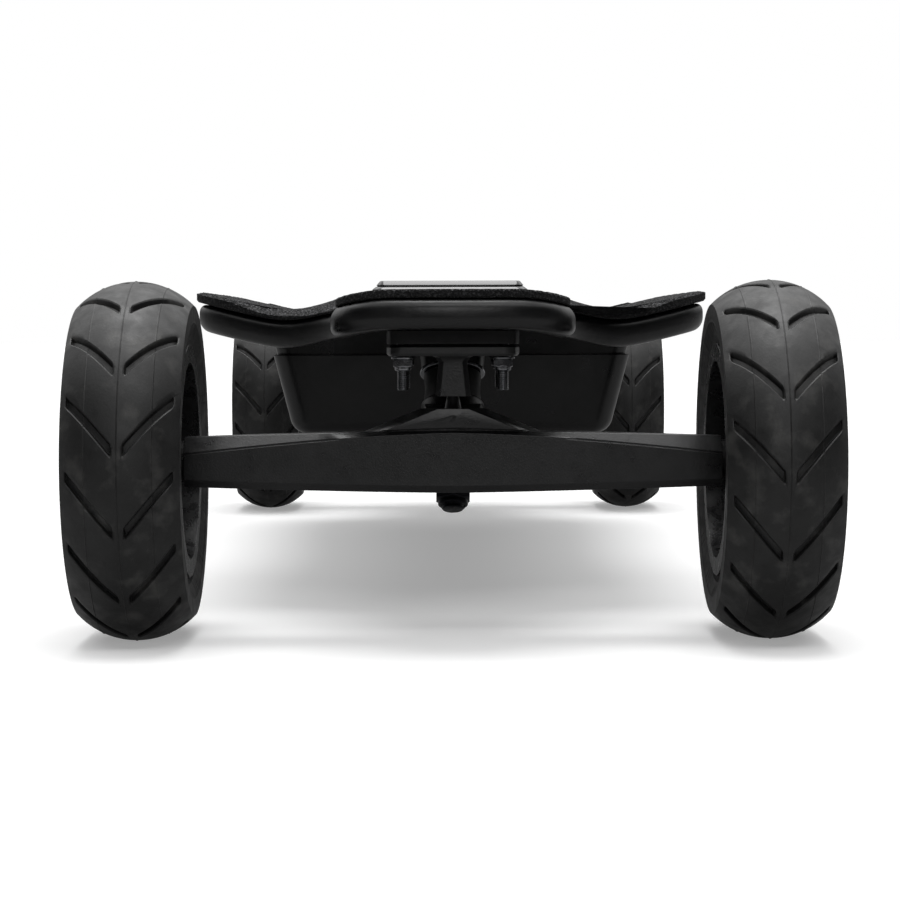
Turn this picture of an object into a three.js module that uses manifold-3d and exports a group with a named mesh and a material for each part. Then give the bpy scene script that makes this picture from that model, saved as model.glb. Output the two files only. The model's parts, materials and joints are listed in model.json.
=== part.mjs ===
// A four-wheeled all-terrain board with a powered rear pair of wheels.
// Lengths are millimetres. The board stands on the plane z = 0 with its middle over the origin.
// The nose points to -Y, the tail to +Y, and left is -X.
import * as THREE from 'three';
import { mergeVertices } from 'three/addons/utils/BufferGeometryUtils.js';
import Module from 'manifold-3d';

const wasm = await Module();
wasm.setup();

// Driving dimensions
const wheelBase = 850;
const trackWidth = 264;
const tyreDiameter = 150;
const tyreWidth = 47.6;
const deckLength = 970;
const deckWidth = 239;
const deckThickness = 12.7;
const deckClearance = 129.6;
const seatGap = 0.3;
const cutOverrun = 4;
const edgeBreak = 1;
const weldDistance = 1e-4;

// Truck layout: the board leans on each hanger about the line from the pivot ball to the ring
const kingpinTilt = THREE.MathUtils.degToRad(22);
const leanLimit = THREE.MathUtils.degToRad(12);
const ringInset = 32;
const ringHeight = 89.2;
const pivotOutset = 8;
const axleRadius = 5;

// Places that follow from these sizes
const tyreRadius = tyreDiameter / 2;
const axleHeight = tyreRadius;
const axleStation = -wheelBase / 2;
const wheelStation = trackWidth / 2;
const pivotHeight = ringHeight + (ringInset + pivotOutset) * Math.tan(kingpinTilt);

const board = new THREE.Group();

// Finishes
const finishes = {
  carbon: { color: 0x17181a, roughness: 0.42, metalness: 0 },
  foam: { color: 0x242427, roughness: 0.98, metalness: 0 },
  gloss: { color: 0x0b0b0d, roughness: 0.12, metalness: 0 },
  casting: { color: 0x1c1c1e, roughness: 0.55, metalness: 0.4 },
  steel: { color: 0x77787c, roughness: 0.32, metalness: 1 },
  blackSteel: { color: 0x2a2a2d, roughness: 0.4, metalness: 0.9 },
  rubber: { color: 0x1a1a1b, roughness: 0.72, metalness: 0 },
  urethane: { color: 0x161617, roughness: 0.5, metalness: 0 },
  plastic: { color: 0x1b1b1d, roughness: 0.6, metalness: 0 },
  wrap: { color: 0x1f4f8a, roughness: 0.45, metalness: 0 },
  copper: { color: 0x8f4a24, roughness: 0.45, metalness: 0.9 },
};

function material(finish) {
  return new THREE.MeshStandardMaterial(finishes[finish]);
}

// Vector shorthand
function vec(x, y, z) {
  return new THREE.Vector3(x, y, z);
}

// Solids

function solid(geometry) {
  const bare = geometry.clone();
  for (const name of Object.keys(bare.attributes)) {
    if (name !== 'position') bare.deleteAttribute(name);
  }
  const merged = mergeVertices(bare, weldDistance);
  const index = Array.from(merged.index.array);
  const kept = [];
  for (let i = 0; i < index.length; i += 3) {
    const [a, b, c] = index.slice(i, i + 3);
    if (a !== b && b !== c && c !== a) kept.push(a, b, c);
  }
  const vertProperties = new Float32Array(merged.attributes.position.array);
  if (signedVolume(merged.attributes.position, kept) < 0) kept.reverse();
  const triVerts = new Uint32Array(kept);
  return new wasm.Manifold(new wasm.Mesh({ numProp: 3, vertProperties, triVerts }));
}

// Six times the volume that the faces enclose, negative where they point inwards
function signedVolume(position, index) {
  let sum = 0;
  for (let i = 0; i < index.length; i += 3) {
    const [a, b, c] = index.slice(i, i + 3).map((corner) => vec(0, 0, 0).fromBufferAttribute(position, corner));
    sum += a.dot(b.cross(c));
  }
  return sum;
}

function geometryOf(body) {
  const mesh = body.getMesh();
  const geometry = new THREE.BufferGeometry();
  geometry.setAttribute('position', new THREE.BufferAttribute(new Float32Array(mesh.vertProperties), 3));
  geometry.setIndex(Array.from(mesh.triVerts));
  geometry.computeVertexNormals();
  return geometry;
}

function joined(bodies) {
  return bodies.reduce((whole, body) => whole.add(body));
}

function without(body, cutters) {
  return cutters.reduce((whole, cutter) => whole.subtract(cutter), body);
}

function piece(name, finish, body, parent = board) {
  const mesh = new THREE.Mesh(geometryOf(body), material(finish));
  mesh.name = name;
  parent.add(mesh);
}

// A solid through rings of equally many points
function loft(rings) {
  const count = rings[0].length;
  const points = rings.flat();
  const faces = [];
  for (let ring = 0; ring < rings.length - 1; ring++) {
    for (let i = 0; i < count; i++) {
      const a = ring * count + i;
      const b = ring * count + (i + 1) % count;
      faces.push(a, b, b + count, a, b + count, a + count);
    }
  }
  const last = (rings.length - 1) * count;
  const ends = [rings[0], rings[rings.length - 1]].map(middleOf);
  for (let i = 0; i < count; i++) {
    const next = (i + 1) % count;
    faces.push(points.length, next, i);
    faces.push(points.length + 1, last + i, last + next);
  }
  return closedSolid([...points, ...ends], faces);
}

function middleOf(ring) {
  return ring.reduce((sum, point) => sum.add(point), vec(0, 0, 0)).divideScalar(ring.length);
}

function closedSolid(points, faces) {
  const geometry = new THREE.BufferGeometry();
  geometry.setAttribute('position', new THREE.Float32BufferAttribute(points.flatMap((p) => p.toArray()), 3));
  geometry.setIndex(faces);
  return solid(geometry);
}

// A turned piece about Z, from [radius, height] pairs that go round the section anticlockwise
function turned(profile, segments) {
  const outline = profile.map(([radius, height]) => new THREE.Vector2(radius, height));
  if (profile[0][0] > 0) outline.push(outline[0].clone());
  return solid(new THREE.LatheGeometry(outline, segments).rotateX(Math.PI / 2));
}

function disc(radius, bottom, top, segments) {
  return turned([[0, bottom], [radius, bottom], [radius, top], [0, top]], segments);
}

function ringOf(inner, outer, bottom, top, segments) {
  return turned([[inner, bottom], [outer, bottom], [outer, top], [inner, top]], segments);
}

function box(low, high) {
  const size = high.clone().sub(low);
  const middle = low.clone().add(high).multiplyScalar(1 / 2);
  const geometry = new THREE.BoxGeometry(size.x, size.y, size.z);
  return solid(geometry.translate(middle.x, middle.y, middle.z));
}

function prism(shape, bottom, top, bevel = 0) {
  const geometry = new THREE.ExtrudeGeometry(shape, {
    depth: top - bottom - 2 * bevel,
    bevelEnabled: bevel > 0,
    bevelThickness: bevel,
    bevelSize: bevel,
    bevelOffset: -bevel,
    bevelSegments: 1,
    curveSegments: 4,
    steps: 1,
  });
  return solid(geometry.translate(0, 0, bottom + bevel));
}

function hexagon(acrossFlats) {
  const shape = new THREE.Shape();
  const reach = acrossFlats / Math.sqrt(3);
  for (let corner = 0; corner < 6; corner++) {
    const angle = corner * Math.PI / 3;
    const method = corner ? 'lineTo' : 'moveTo';
    shape[method](reach * Math.cos(angle), reach * Math.sin(angle));
  }
  shape.closePath();
  return shape;
}

function roundedRectangle(halfWidth, halfLength, radius, steps) {
  const points = [];
  const corners = [[1, 1, 0], [-1, 1, 1], [-1, -1, 2], [1, -1, 3]];
  for (const [sideX, sideY, quarter] of corners) {
    for (let i = 0; i <= steps; i++) {
      const angle = (quarter + i / steps) * Math.PI / 2;
      const x = sideX * (halfWidth - radius) + radius * Math.cos(angle);
      const y = sideY * (halfLength - radius) + radius * Math.sin(angle);
      points.push(vec(x, y, 0));
    }
  }
  return points;
}

function matrixFor(position, rotation = [0, 0, 0]) {
  const matrix = new THREE.Matrix4();
  matrix.compose(position, new THREE.Quaternion().setFromEuler(new THREE.Euler(...rotation)), vec(1, 1, 1));
  return matrix;
}

function moved(body, matrix) {
  return solid(geometryOf(body).applyMatrix4(matrix));
}

// Deck form

const camberRise = 2;
const camberReach = 370;
const plateauHalf = 43;
const valleyDepth = 8;
const valleyStation = 77;
const wingSlope = 0.25;
const wingBlend = 10;
const waistDrop = 3.4;
const waistHalf = 76;
const waistBlend = 60;
const concaveStart = 470;
const concaveFull = 330;
const rimRound = 6;
const rimSteps = 2;
const noseCrown = 4;
const noseFlatHalf = 24;
const crownStart = 290;
const crownFull = 350;
const crownEnd = 80;
const slopeMiddle = (plateauHalf + valleyStation) / 2;
const crownMiddle = (noseFlatHalf + plateauHalf) / 2;

// The deck's plan, as the right-hand edge of its front half from the nose to the waist
const noseHalf = 50;
const noseCorner = 26;
const noseBow = 5;
const neckEnd = 352;
const wingLead = 307;
const wingSweep = 10;
const wingCorner = 20;
const filletReach = 30;
const waistInset = 11;
const noseFlatShare = 0.62;
const neckEaseShare = 0.8;
const leadEaseShare = 0.7;
const tipEaseShare = 0.5;
const planSteps = [2, 2, 2, 1, 1, 4];

function planCurves() {
  const tip = -deckLength / 2;
  const side = deckWidth / 2;
  const nose = new THREE.Vector2(0, tip);
  const corner = new THREE.Vector2(noseHalf, tip + noseBow + noseCorner);
  const neck = new THREE.Vector2(noseHalf, -neckEnd);
  const fillet = new THREE.Vector2(noseHalf + filletReach, -wingLead - wingSweep / 2);
  const lead = new THREE.Vector2(side - wingCorner, -wingLead + wingSweep / 2);
  const wing = new THREE.Vector2(side, -wingLead + wingSweep + wingCorner);
  const waist = new THREE.Vector2(side - waistInset, 0);
  const sweep = new THREE.Vector2(lead.x - fillet.x, lead.y - fillet.y).normalize();
  return [
    new THREE.CubicBezierCurve(
      nose,
      new THREE.Vector2(noseHalf * noseFlatShare, tip),
      new THREE.Vector2(noseHalf, tip + noseBow),
      corner,
    ),
    new THREE.LineCurve(corner, neck),
    new THREE.CubicBezierCurve(
      neck,
      new THREE.Vector2(noseHalf, -neckEnd + filletReach * neckEaseShare),
      fillet.clone().addScaledVector(sweep, -filletReach * leadEaseShare),
      fillet,
    ),
    new THREE.LineCurve(fillet, lead),
    new THREE.CubicBezierCurve(
      lead,
      lead.clone().addScaledVector(sweep, wingCorner * leadEaseShare),
      new THREE.Vector2(side, wing.y - wingCorner * tipEaseShare),
      wing,
    ),
    new THREE.CubicBezierCurve(
      wing,
      new THREE.Vector2(side, -waistHalf * 2),
      new THREE.Vector2(waist.x, -waistHalf),
      waist,
    ),
  ];
}

// Stations along the edge: a point and the direction in from it, front half then rear half
function planStations(steps) {
  const front = [];
  planCurves().forEach((curve, order) => {
    for (let i = order ? 1 : 0; i <= steps[order]; i++) {
      const share = i / steps[order];
      const point = curve.getPoint(share);
      const along = curve.getTangent(share);
      front.push({ point, inward: new THREE.Vector2(-along.y, along.x) });
    }
  });
  front[0].inward.set(0, 1);
  const rear = front.slice(0, -1).reverse().map(({ point, inward }) => ({
    point: new THREE.Vector2(point.x, -point.y),
    inward: new THREE.Vector2(inward.x, -inward.y),
  }));
  front[front.length - 1].inward.set(-1, 0);
  return [...front, ...rear];
}

function smooth(low, high, value) {
  return THREE.MathUtils.smoothstep(value, low, high);
}

function camber(y) {
  if (Math.abs(y) >= camberReach) return 0;
  return camberRise * (1 + Math.cos(Math.PI * y / camberReach)) / 2;
}

// The concave: a flat middle, a valley to each side of it and a wing that rises to the edge
function concave(x, y) {
  const out = Math.abs(x);
  const strength = 1 - smooth(concaveFull, concaveStart, Math.abs(y));
  if (out <= valleyStation) {
    const share = Math.max(0, (out - plateauHalf) / (valleyStation - plateauHalf));
    return -strength * valleyDepth * (1 - Math.cos(Math.PI * share)) / 2;
  }
  const reach = out - valleyStation;
  const rise = wingSlope * (Math.hypot(reach, wingBlend) - wingBlend);
  const low = 1 - smooth(waistHalf - waistBlend, waistHalf, Math.abs(y));
  const wing = rise * (1 - low * waistDrop / valleyDepth);
  return strength * (wing - valleyDepth);
}

// The nose and tail roll off to both sides of a flat middle
function crown(x, y) {
  const out = Math.abs(x);
  const strength = smooth(crownStart, crownFull, Math.abs(y));
  const share = Math.max(0, out - noseFlatHalf) / (noseHalf - noseFlatHalf);
  const fade = 1 - smooth(noseHalf, crownEnd, out);
  return -strength * noseCrown * Math.min(1, share) ** 2 * fade;
}

function deckTop(x, y) {
  return deckClearance + deckThickness + camber(y) + concave(x, y) + crown(x, y);
}

// A slab that follows the deck: each station gives a top line and a bottom line across the board
function slab(stations, insetAt, round, floorAt, roofAt) {
  const lines = stations.map(({ point, inward }) => {
    const line = [];
    for (let i = 0; i <= rimSteps; i++) {
      const angle = (i / rimSteps) * Math.PI / 2;
      const offset = insetAt(point) + round * (1 - Math.cos(angle));
      const x = Math.max(0, point.x + inward.x * offset);
      line.push({ x, y: point.y + inward.y * offset, open: Math.sin(angle) });
    }
    const core = point.clone().addScaledVector(inward, rimRound);
    const wing = Math.max(valleyStation, (core.x + valleyStation) / 2);
    for (const column of [core.x, wing, valleyStation, slopeMiddle, plateauHalf, crownMiddle, noseFlatHalf]) {
      line.push({ x: Math.max(0, Math.min(core.x, column)), y: core.y, open: 1 });
    }
    const mirror = [...line].reverse().map(({ x, y, open }) => ({ x: -x, y, open }));
    return [...line, ...mirror];
  });
  const surface = (share) => lines.map((line) => line.map(({ x, y, open }) => {
    const floor = floorAt(x, y);
    const roof = roofAt(x, y);
    const middle = (floor + roof) / 2;
    return vec(x, y, middle + share * open * (roof - floor) / 2);
  }));
  return slabSolid(surface(1), surface(-1));
}

function slabSolid(top, bottom) {
  const across = top[0].length;
  const points = [...top.flat(), ...bottom.flat()];
  const under = top.length * across;
  const faces = [];
  const quad = (a, b, c, d) => faces.push(a, b, c, a, c, d);
  for (let row = 0; row < top.length - 1; row++) {
    for (let column = 0; column < across - 1; column++) {
      const a = row * across + column;
      quad(a, a + across, a + across + 1, a + 1);
      quad(under + a, under + a + 1, under + a + across + 1, under + a + across);
    }
  }
  for (let row = 0; row < top.length - 1; row++) {
    const right = row * across;
    const left = right + across - 1;
    quad(right + across, right, under + right, under + right + across);
    quad(left, left + across, under + left + across, under + left);
  }
  const open = (line) => line.some(({ x }) => Math.abs(x) > 0);
  for (let column = 0; column < across - 1; column++) {
    const last = (top.length - 1) * across + column;
    if (open(top[0])) quad(column, column + 1, under + column + 1, under + column);
    if (open(top[top.length - 1])) quad(last, under + last, under + last + 1, last + 1);
  }
  return closedSolid(points, faces);
}

// A block between a surface and a level plane, for cutting a piece to the deck's form
function reliefBlock(columns, halfLength, surfaceAt, level, rows) {
  const top = [];
  const bottom = [];
  for (let row = 0; row <= rows; row++) {
    const y = (2 * row / rows - 1) * halfLength;
    const line = columns.map((x) => vec(x, y, surfaceAt(x, y)));
    top.push(line);
    bottom.push(line.map(({ x }) => vec(x, y, level)));
  }
  const upward = surfaceAt(0, 0) > level;
  return upward ? slabSolid(top, bottom) : slabSolid(bottom, top);
}

// Deck shell

const boltSpacingX = 41.3;
const boltSpacingY = 54;
const boltShift = 11.5;
const boltRadius = 2.5;
const boltFit = 0.3;
const boltHeadRadius = 4.6;
const boltHeadHeight = 3;
const boltHeadSink = 0.4;
const bayHalfWidth = 30;
const bayHalfLength = 80;

const boltPlaces = [-1, 1].flatMap((sideY) => [-1, 1].map((sideX) => ({
  label: `${sideY < 0 ? 'outer' : 'inner'}_${sideX < 0 ? 'left' : 'right'}`,
  x: sideX * boltSpacingX / 2,
  y: boltShift + sideY * boltSpacingY / 2,
})));

function mirroredToTail(matrix) {
  return new THREE.Matrix4().makeRotationZ(Math.PI).multiply(matrix);
}

function truckMatrix(end) {
  const front = new THREE.Matrix4().makeTranslation(0, axleStation, 0);
  return end === 'front' ? front : mirroredToTail(front);
}

function boltHoles(radius, bottom, top) {
  return boltPlaces.map(({ x, y }) => moved(disc(radius, bottom, top, 6), matrixFor(vec(x, y, 0))));
}

function deckShell() {
  const stations = planStations(planSteps);
  const shell = slab(stations, () => 0, rimRound, (x, y) => deckTop(x, y) - deckThickness, deckTop);
  const bay = prism(new THREE.Shape(roundedRectangle(bayHalfWidth, bayHalfLength, bayHalfWidth / 4, 2)
    .map(({ x, y }) => new THREE.Vector2(x, y))), deckClearance - cutOverrun,
  deckClearance + deckThickness + camberRise + cutOverrun);
  const cuts = [bay];
  const top = deckClearance + deckThickness;
  const headFloor = top - boltHeadSink - boltHeadHeight - seatGap;
  for (const end of ['front', 'rear']) {
    const place = truckMatrix(end);
    const bores = boltHoles(boltRadius + boltFit, deckClearance - cutOverrun, top + cutOverrun);
    const heads = boltHoles(boltHeadRadius + boltFit, headFloor, top + cutOverrun);
    cuts.push(...[...bores, ...heads].map((cutter) => moved(cutter, place)));
  }
  return without(shell, cuts);
}

piece('deck_shell', 'carbon', deckShell());

// Foam grips

const gripThickness = 4.2;
const gripInset = 3;
const gripWingInset = -1.2;
const gripRound = 1;
const gripMidGap = 116;
const searchTurns = 30;

function foamGrip(end) {
  const side = end === 'front' ? -1 : 1;
  const stations = planStations(planSteps).filter(({ point }) => point.y * side > gripMidGap);
  const cut = { point: gripEdgeAt(side * gripMidGap), inward: new THREE.Vector2(-1, 0) };
  const line = side < 0 ? [...stations, cut] : [cut, ...stations];
  const floor = (x, y) => deckTop(x, y) + seatGap;
  const roof = (x, y) => deckTop(x, y) + gripThickness;
  return slab(line, gripInsetAt, gripRound, floor, roof);
}

// The pad stands in from the rim at the nose, and laps over it on the wings
function gripInsetAt(point) {
  const share = smooth(wingLead, neckEnd, Math.abs(point.y));
  return THREE.MathUtils.lerp(gripWingInset, gripInset, share);
}

function gripEdgeAt(y) {
  const curve = planCurves()[5];
  let low = 0;
  let high = 1;
  for (let turn = 0; turn < searchTurns; turn++) {
    const middle = (low + high) / 2;
    if (curve.getPoint(middle).y < -Math.abs(y)) low = middle;
    else high = middle;
  }
  return new THREE.Vector2(curve.getPoint(low).x, y);
}

piece('front_grip', 'foam', foamGrip('front'));
piece('rear_grip', 'foam', foamGrip('rear'));

// Hatch on top of the deck

const hatchHalfWidth = 42;
const hatchHalfLength = 110;
const hatchCorner = 7;
const hatchChamfer = 4.3;
const hatchTop = 157;
const hatchGasket = 1.8;
const hatchRows = 6;

function hatchRing(inset, z) {
  const corner = Math.max(hatchCorner - inset, hatchCorner / 4);
  return roundedRectangle(hatchHalfWidth - inset, hatchHalfLength - inset, corner, 2)
    .map(({ x, y }) => vec(x, y, z));
}

function topHatch() {
  const block = loft([
    hatchRing(0, deckClearance),
    hatchRing(0, hatchTop - hatchChamfer),
    hatchRing(hatchChamfer, hatchTop),
  ]);
  const seat = (x, y) => deckTop(0, y) + hatchGasket + seatGap;
  const reach = hatchHalfWidth + cutOverrun;
  const relief = reliefBlock([reach, -reach], hatchHalfLength + cutOverrun, seat,
    deckClearance - cutOverrun, hatchRows);
  return block.subtract(relief);
}

function gasket() {
  const inset = hatchChamfer / 4;
  const block = loft([hatchRing(inset, deckClearance), hatchRing(inset, hatchTop)]);
  const low = (x, y) => deckTop(0, y) + seatGap;
  const high = (x, y) => deckTop(0, y) + hatchGasket;
  const reach = hatchHalfWidth + cutOverrun;
  const extent = [[reach, -reach], hatchHalfLength + cutOverrun];
  const under = reliefBlock(...extent, low, deckClearance - cutOverrun, hatchRows);
  const over = reliefBlock(...extent, high, hatchTop + cutOverrun, hatchRows);
  const window = roundedRectangle(bayHalfWidth, bayHalfLength, bayHalfWidth / 4, 2);
  const opening = loft([
    window.map(({ x, y }) => vec(x, y, deckClearance - cutOverrun)),
    window.map(({ x, y }) => vec(x, y, hatchTop + cutOverrun)),
  ]);
  return without(block, [under, over, opening]);
}

piece('top_hatch', 'gloss', topHatch());
piece('hatch_gasket', 'urethane', gasket());

// Battery tub under the deck

const tubHalfWidth = 84;
const tubHalfLength = 285;
const tubBottom = 80.6;
const tubTaper = 9;
const tubWall = 3;
const tubCorner = 14;
const tubEdge = 8;
const tubRim = deckClearance - valleyDepth;

function tubRings(inset, floor) {
  const ring = (z, extra) => {
    const taper = tubTaper * (tubRim - z) / (tubRim - tubBottom) + inset + extra;
    return roundedRectangle(tubHalfWidth - taper, tubHalfLength - taper, Math.max(tubCorner - inset, tubWall), 3)
      .map(({ x, y }) => vec(x, y, z));
  };
  const edge = tubEdge - inset;
  const roof = deckClearance + camberRise + cutOverrun;
  return [
    ring(floor, edge),
    ring(floor + edge * (1 - Math.SQRT1_2), edge * (1 - Math.SQRT1_2)),
    ring(floor + edge, 0),
    ring(roof, 0),
  ];
}

const portRadius = 9;
const portX = 26;
const portHeight = 104;
const buttonRadius = 8;
const buttonX = -26;
const buttonFit = 0.4;
const buttonTravel = 1.2;
const buttonDepth = 9;
const pocketWall = 2;
const rearWallY = tubHalfLength - tubTaper * (tubRim - portHeight) / (tubRim - tubBottom);

function tubShell() {
  const outside = loft(tubRings(0, tubBottom));
  const inside = loft(tubRings(tubWall, tubBottom + tubWall));
  const under = (x, y) => deckTop(x, y) - deckThickness - seatGap;
  const right = [tubHalfWidth + cutOverrun, valleyStation, slopeMiddle, plateauHalf];
  const columns = [...right, ...right.map((x) => -x).reverse()];
  const relief = reliefBlock(columns, tubHalfLength + cutOverrun, under, tubBottom - cutOverrun, 10);
  const shell = outside.subtract(inside).intersect(relief);
  const portCut = alongRear(portX, portRadius + seatGap, tubHalfLength - tubTaper - tubWall - cutOverrun);
  const pocketFloor = rearWallY - buttonDepth - buttonTravel - buttonFit;
  const pocket = alongRear(buttonX, buttonRadius + buttonFit + pocketWall, pocketFloor - pocketWall);
  const pocketCut = alongRear(buttonX, buttonRadius + buttonFit, pocketFloor);
  return without(shell.add(pocket.intersect(outside)), [portCut, pocketCut]);
}

// A rod through the rear wall, from a place inside the tub to clear of it
function alongRear(x, radius, start) {
  return moved(
    disc(radius, start, tubHalfLength + cutOverrun, 14),
    matrixFor(vec(x, 0, portHeight), [-Math.PI / 2, 0, 0]),
  );
}

piece('battery_tub', 'carbon', tubShell());

// What the tub holds

const cellDiameter = 18.4;
const cellLength = 65;
const cellRows = 2;
const cellLayers = 2;
const packWall = 1;
const packInset = 17;
const packFront = tubHalfLength - packInset;
const controllerInset = 223;
const controllerFront = tubHalfLength - controllerInset;
const cellColumns = Math.floor((packFront + controllerFront - 2 * packWall - cutOverrun) / cellDiameter);

function batteryPack() {
  const halfWidth = cellRows * cellLength / 2 + packWall;
  const length = cellColumns * cellDiameter + 2 * packWall;
  const radius = cellDiameter / 2;
  const floor = tubBottom + tubWall + seatGap;
  const outline = [];
  const flat = radius * Math.tan(Math.PI / 8);
  const arc = (index, sign, z) => {
    const middle = -packFront + packWall + (index + 1 / 2) * cellDiameter;
    outline.push([middle - sign * radius, z + sign * flat]);
    outline.push([middle - sign * flat, z + sign * radius], [middle + sign * flat, z + sign * radius]);
  };
  const low = floor + radius;
  const high = low + (cellLayers - 1) * cellDiameter;
  for (let index = cellColumns - 1; index >= 0; index--) arc(index, -1, low);
  for (let index = 0; index < cellColumns; index++) arc(index, 1, high);
  const ring = (x) => outline.map(([y, z]) => vec(x, y, z));
  const middle = vec(0, -packFront + length / 2, (low + high) / 2);
  return { rings: [ring(halfWidth), ring(-halfWidth)], middle };
}

const pack = batteryPack();
const packShape = new THREE.Shape(pack.rings[0].map(({ y, z }) => new THREE.Vector2(y, z)));
const packHalf = pack.rings[0][0].x;
const packTurn = new THREE.Matrix4().makeBasis(vec(0, 1, 0), vec(0, 0, 1), vec(1, 0, 0));
piece('battery_pack', 'wrap', moved(prism(packShape, -packHalf, packHalf), packTurn));

const controllerHalfWidth = 48;
const controllerLength = 130;
const controllerHeight = 30;
const controllerBase = 18;
const finCount = 6;
const finWidth = 5;

function motorController() {
  const floor = tubBottom + tubWall + seatGap;
  const back = controllerFront + controllerLength;
  const base = box(vec(-controllerHalfWidth, controllerFront, floor),
    vec(controllerHalfWidth, back, floor + controllerHeight));
  const gaps = [];
  const pitch = (2 * controllerHalfWidth - finWidth) / (finCount - 1);
  for (let fin = 0; fin < finCount - 1; fin++) {
    const left = -controllerHalfWidth + fin * pitch + finWidth;
    gaps.push(box(vec(left, controllerFront - cutOverrun, floor + controllerBase),
      vec(left + pitch - finWidth, back + cutOverrun, floor + controllerHeight + cutOverrun)));
  }
  return without(base, gaps);
}

piece('motor_controller', 'casting', motorController());

// Charging port and power button in the tub's rear wall

const portDepth = 16;
const portFlange = 12;
const portFlangeHeight = 2;
const portBore = 5;
const buttonStand = 2 * buttonTravel;
const wallLean = Math.atan(tubTaper / (tubRim - tubBottom));

function chargePort() {
  const body = turned([
    [0, -portDepth], [portRadius, -portDepth], [portRadius, seatGap],
    [portFlange, seatGap], [portFlange, portFlangeHeight], [portBore, portFlangeHeight],
    [portBore, -portDepth + tubWall], [0, -portDepth + tubWall],
  ], 14);
  return body;
}

function rearFitting(x) {
  return matrixFor(vec(x, rearWallY, portHeight), [-Math.PI / 2, 0, 0]);
}

function flangedOver() {
  const lean = portFlange * Math.tan(wallLean);
  return rearFitting(portX).premultiply(new THREE.Matrix4().makeTranslation(0, lean, 0));
}

piece('charge_port', 'plastic', moved(chargePort(), flangedOver()));

function powerButton() {
  const cap = turned([
    [0, -buttonDepth], [buttonRadius - buttonFit, -buttonDepth], [buttonRadius - buttonFit, buttonStand - edgeBreak],
    [buttonRadius - edgeBreak - buttonFit, buttonStand], [0, buttonStand],
  ], 14);
  return moved(cap, rearFitting(buttonX));
}

piece('power_button', 'gloss', powerButton());

// Trucks, drawn at the front axle with the nose towards -Y, then placed at both ends

const plateHalfWidth = 27.2;
const plateFront = -28;
const plateBack = 56;
const plateCorner = 6;
const plateThickness = 4.6;
const plateBevel = 1;
const riserThickness = 5.7;
const plateTop = deckClearance - 2 * seatGap - riserThickness;
const plateUnder = plateTop - plateThickness;

const bushingRadius = 12.5;
const bushingWaist = 11.2;
const bushingBore = 5.4;
const ringHalf = 9;
const ringRadius = 13.6;
const boardBushing = 13.2;
const roadBushing = 16.7;
const washerThickness = 1.7;
const boardWasherRadius = 14.2;
const roadWasherRadius = 11;
const kingpinRadius = 5;
const kingpinHeadRadius = 8;
const kingpinHead = 5;
const kingpinSeat = 3;
const nutFlats = 14.3;
const nutHeight = 8.5;
const threadStand = 2;
const pivotBall = 3.2;
const neckRadius = 2.7;
const cupWall = 1.1;
const cupFit = 0.35;
const pivotMouth = 102;
const leanRoom = 0.8;
const seatFlare = 2;
const bossTopHalf = 5.9;
const bossMouthHalf = 7.3;
const bossCorner = 2;
const bossFlare = 2.6;

// Distances along the kingpin, counted upwards from the middle of the hanger's ring
const boardBushingTop = ringHalf + seatGap + boardBushing;
const boardWasherTop = boardBushingTop + seatGap + washerThickness;
const plateSeat = boardWasherTop + seatGap;
const kingpinHeadFloor = plateSeat + kingpinSeat + seatGap;
const roadBushingEnd = -ringHalf - seatGap - roadBushing;
const roadWasherEnd = roadBushingEnd - seatGap - washerThickness;
const nutTopEnd = roadWasherEnd - seatGap;
const nutEnd = nutTopEnd - nutHeight;
const kingpinEnd = nutEnd - threadStand;

const ringMiddle = vec(0, ringInset, ringHeight);
const ballMiddle = vec(0, -pivotOutset, pivotHeight);
const kingpinFrame = matrixFor(ringMiddle, [-kingpinTilt, 0, 0]);

function onKingpin(body) {
  return moved(body, kingpinFrame);
}

function platePlan(inset) {
  const middle = (plateFront + plateBack) / 2;
  const half = (plateBack - plateFront) / 2;
  return new THREE.Shape(roundedRectangle(plateHalfWidth - inset, half - inset, plateCorner, 2)
    .map(({ x, y }) => new THREE.Vector2(x, y + middle)));
}

function riser() {
  const top = deckClearance - seatGap;
  const pad = prism(platePlan(0), top - riserThickness, top);
  return without(pad, [
    ...boltHoles(boltRadius + boltFit, plateTop, deckClearance + cutOverrun),
    moved(disc(kingpinHeadRadius + edgeBreak, 0, riserThickness + 2 * cutOverrun, 10),
      matrixFor(vec(0, headCentre().y, top - riserThickness - cutOverrun))),
  ]);
}

function headCentre() {
  return vec(0, 0, kingpinHeadFloor + kingpinHead).applyMatrix4(kingpinFrame);
}

// The boss under the plate that holds the pivot cup, wider towards its mouth
function pivotBoss() {
  const ring = (half, z) => roundedRectangle(half, bossMouthHalf, bossCorner, 1)
    .map(({ x, y }) => vec(x, y - pivotOutset, z));
  return loft([
    ring(bossMouthHalf, pivotMouth),
    ring(bossTopHalf, plateUnder - bossFlare),
    ring(bossTopHalf + bossFlare / 2, plateUnder - bossFlare / 4),
    ring(bossTopHalf + 2 * bossFlare, plateUnder + plateBevel),
  ]);
}

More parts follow.
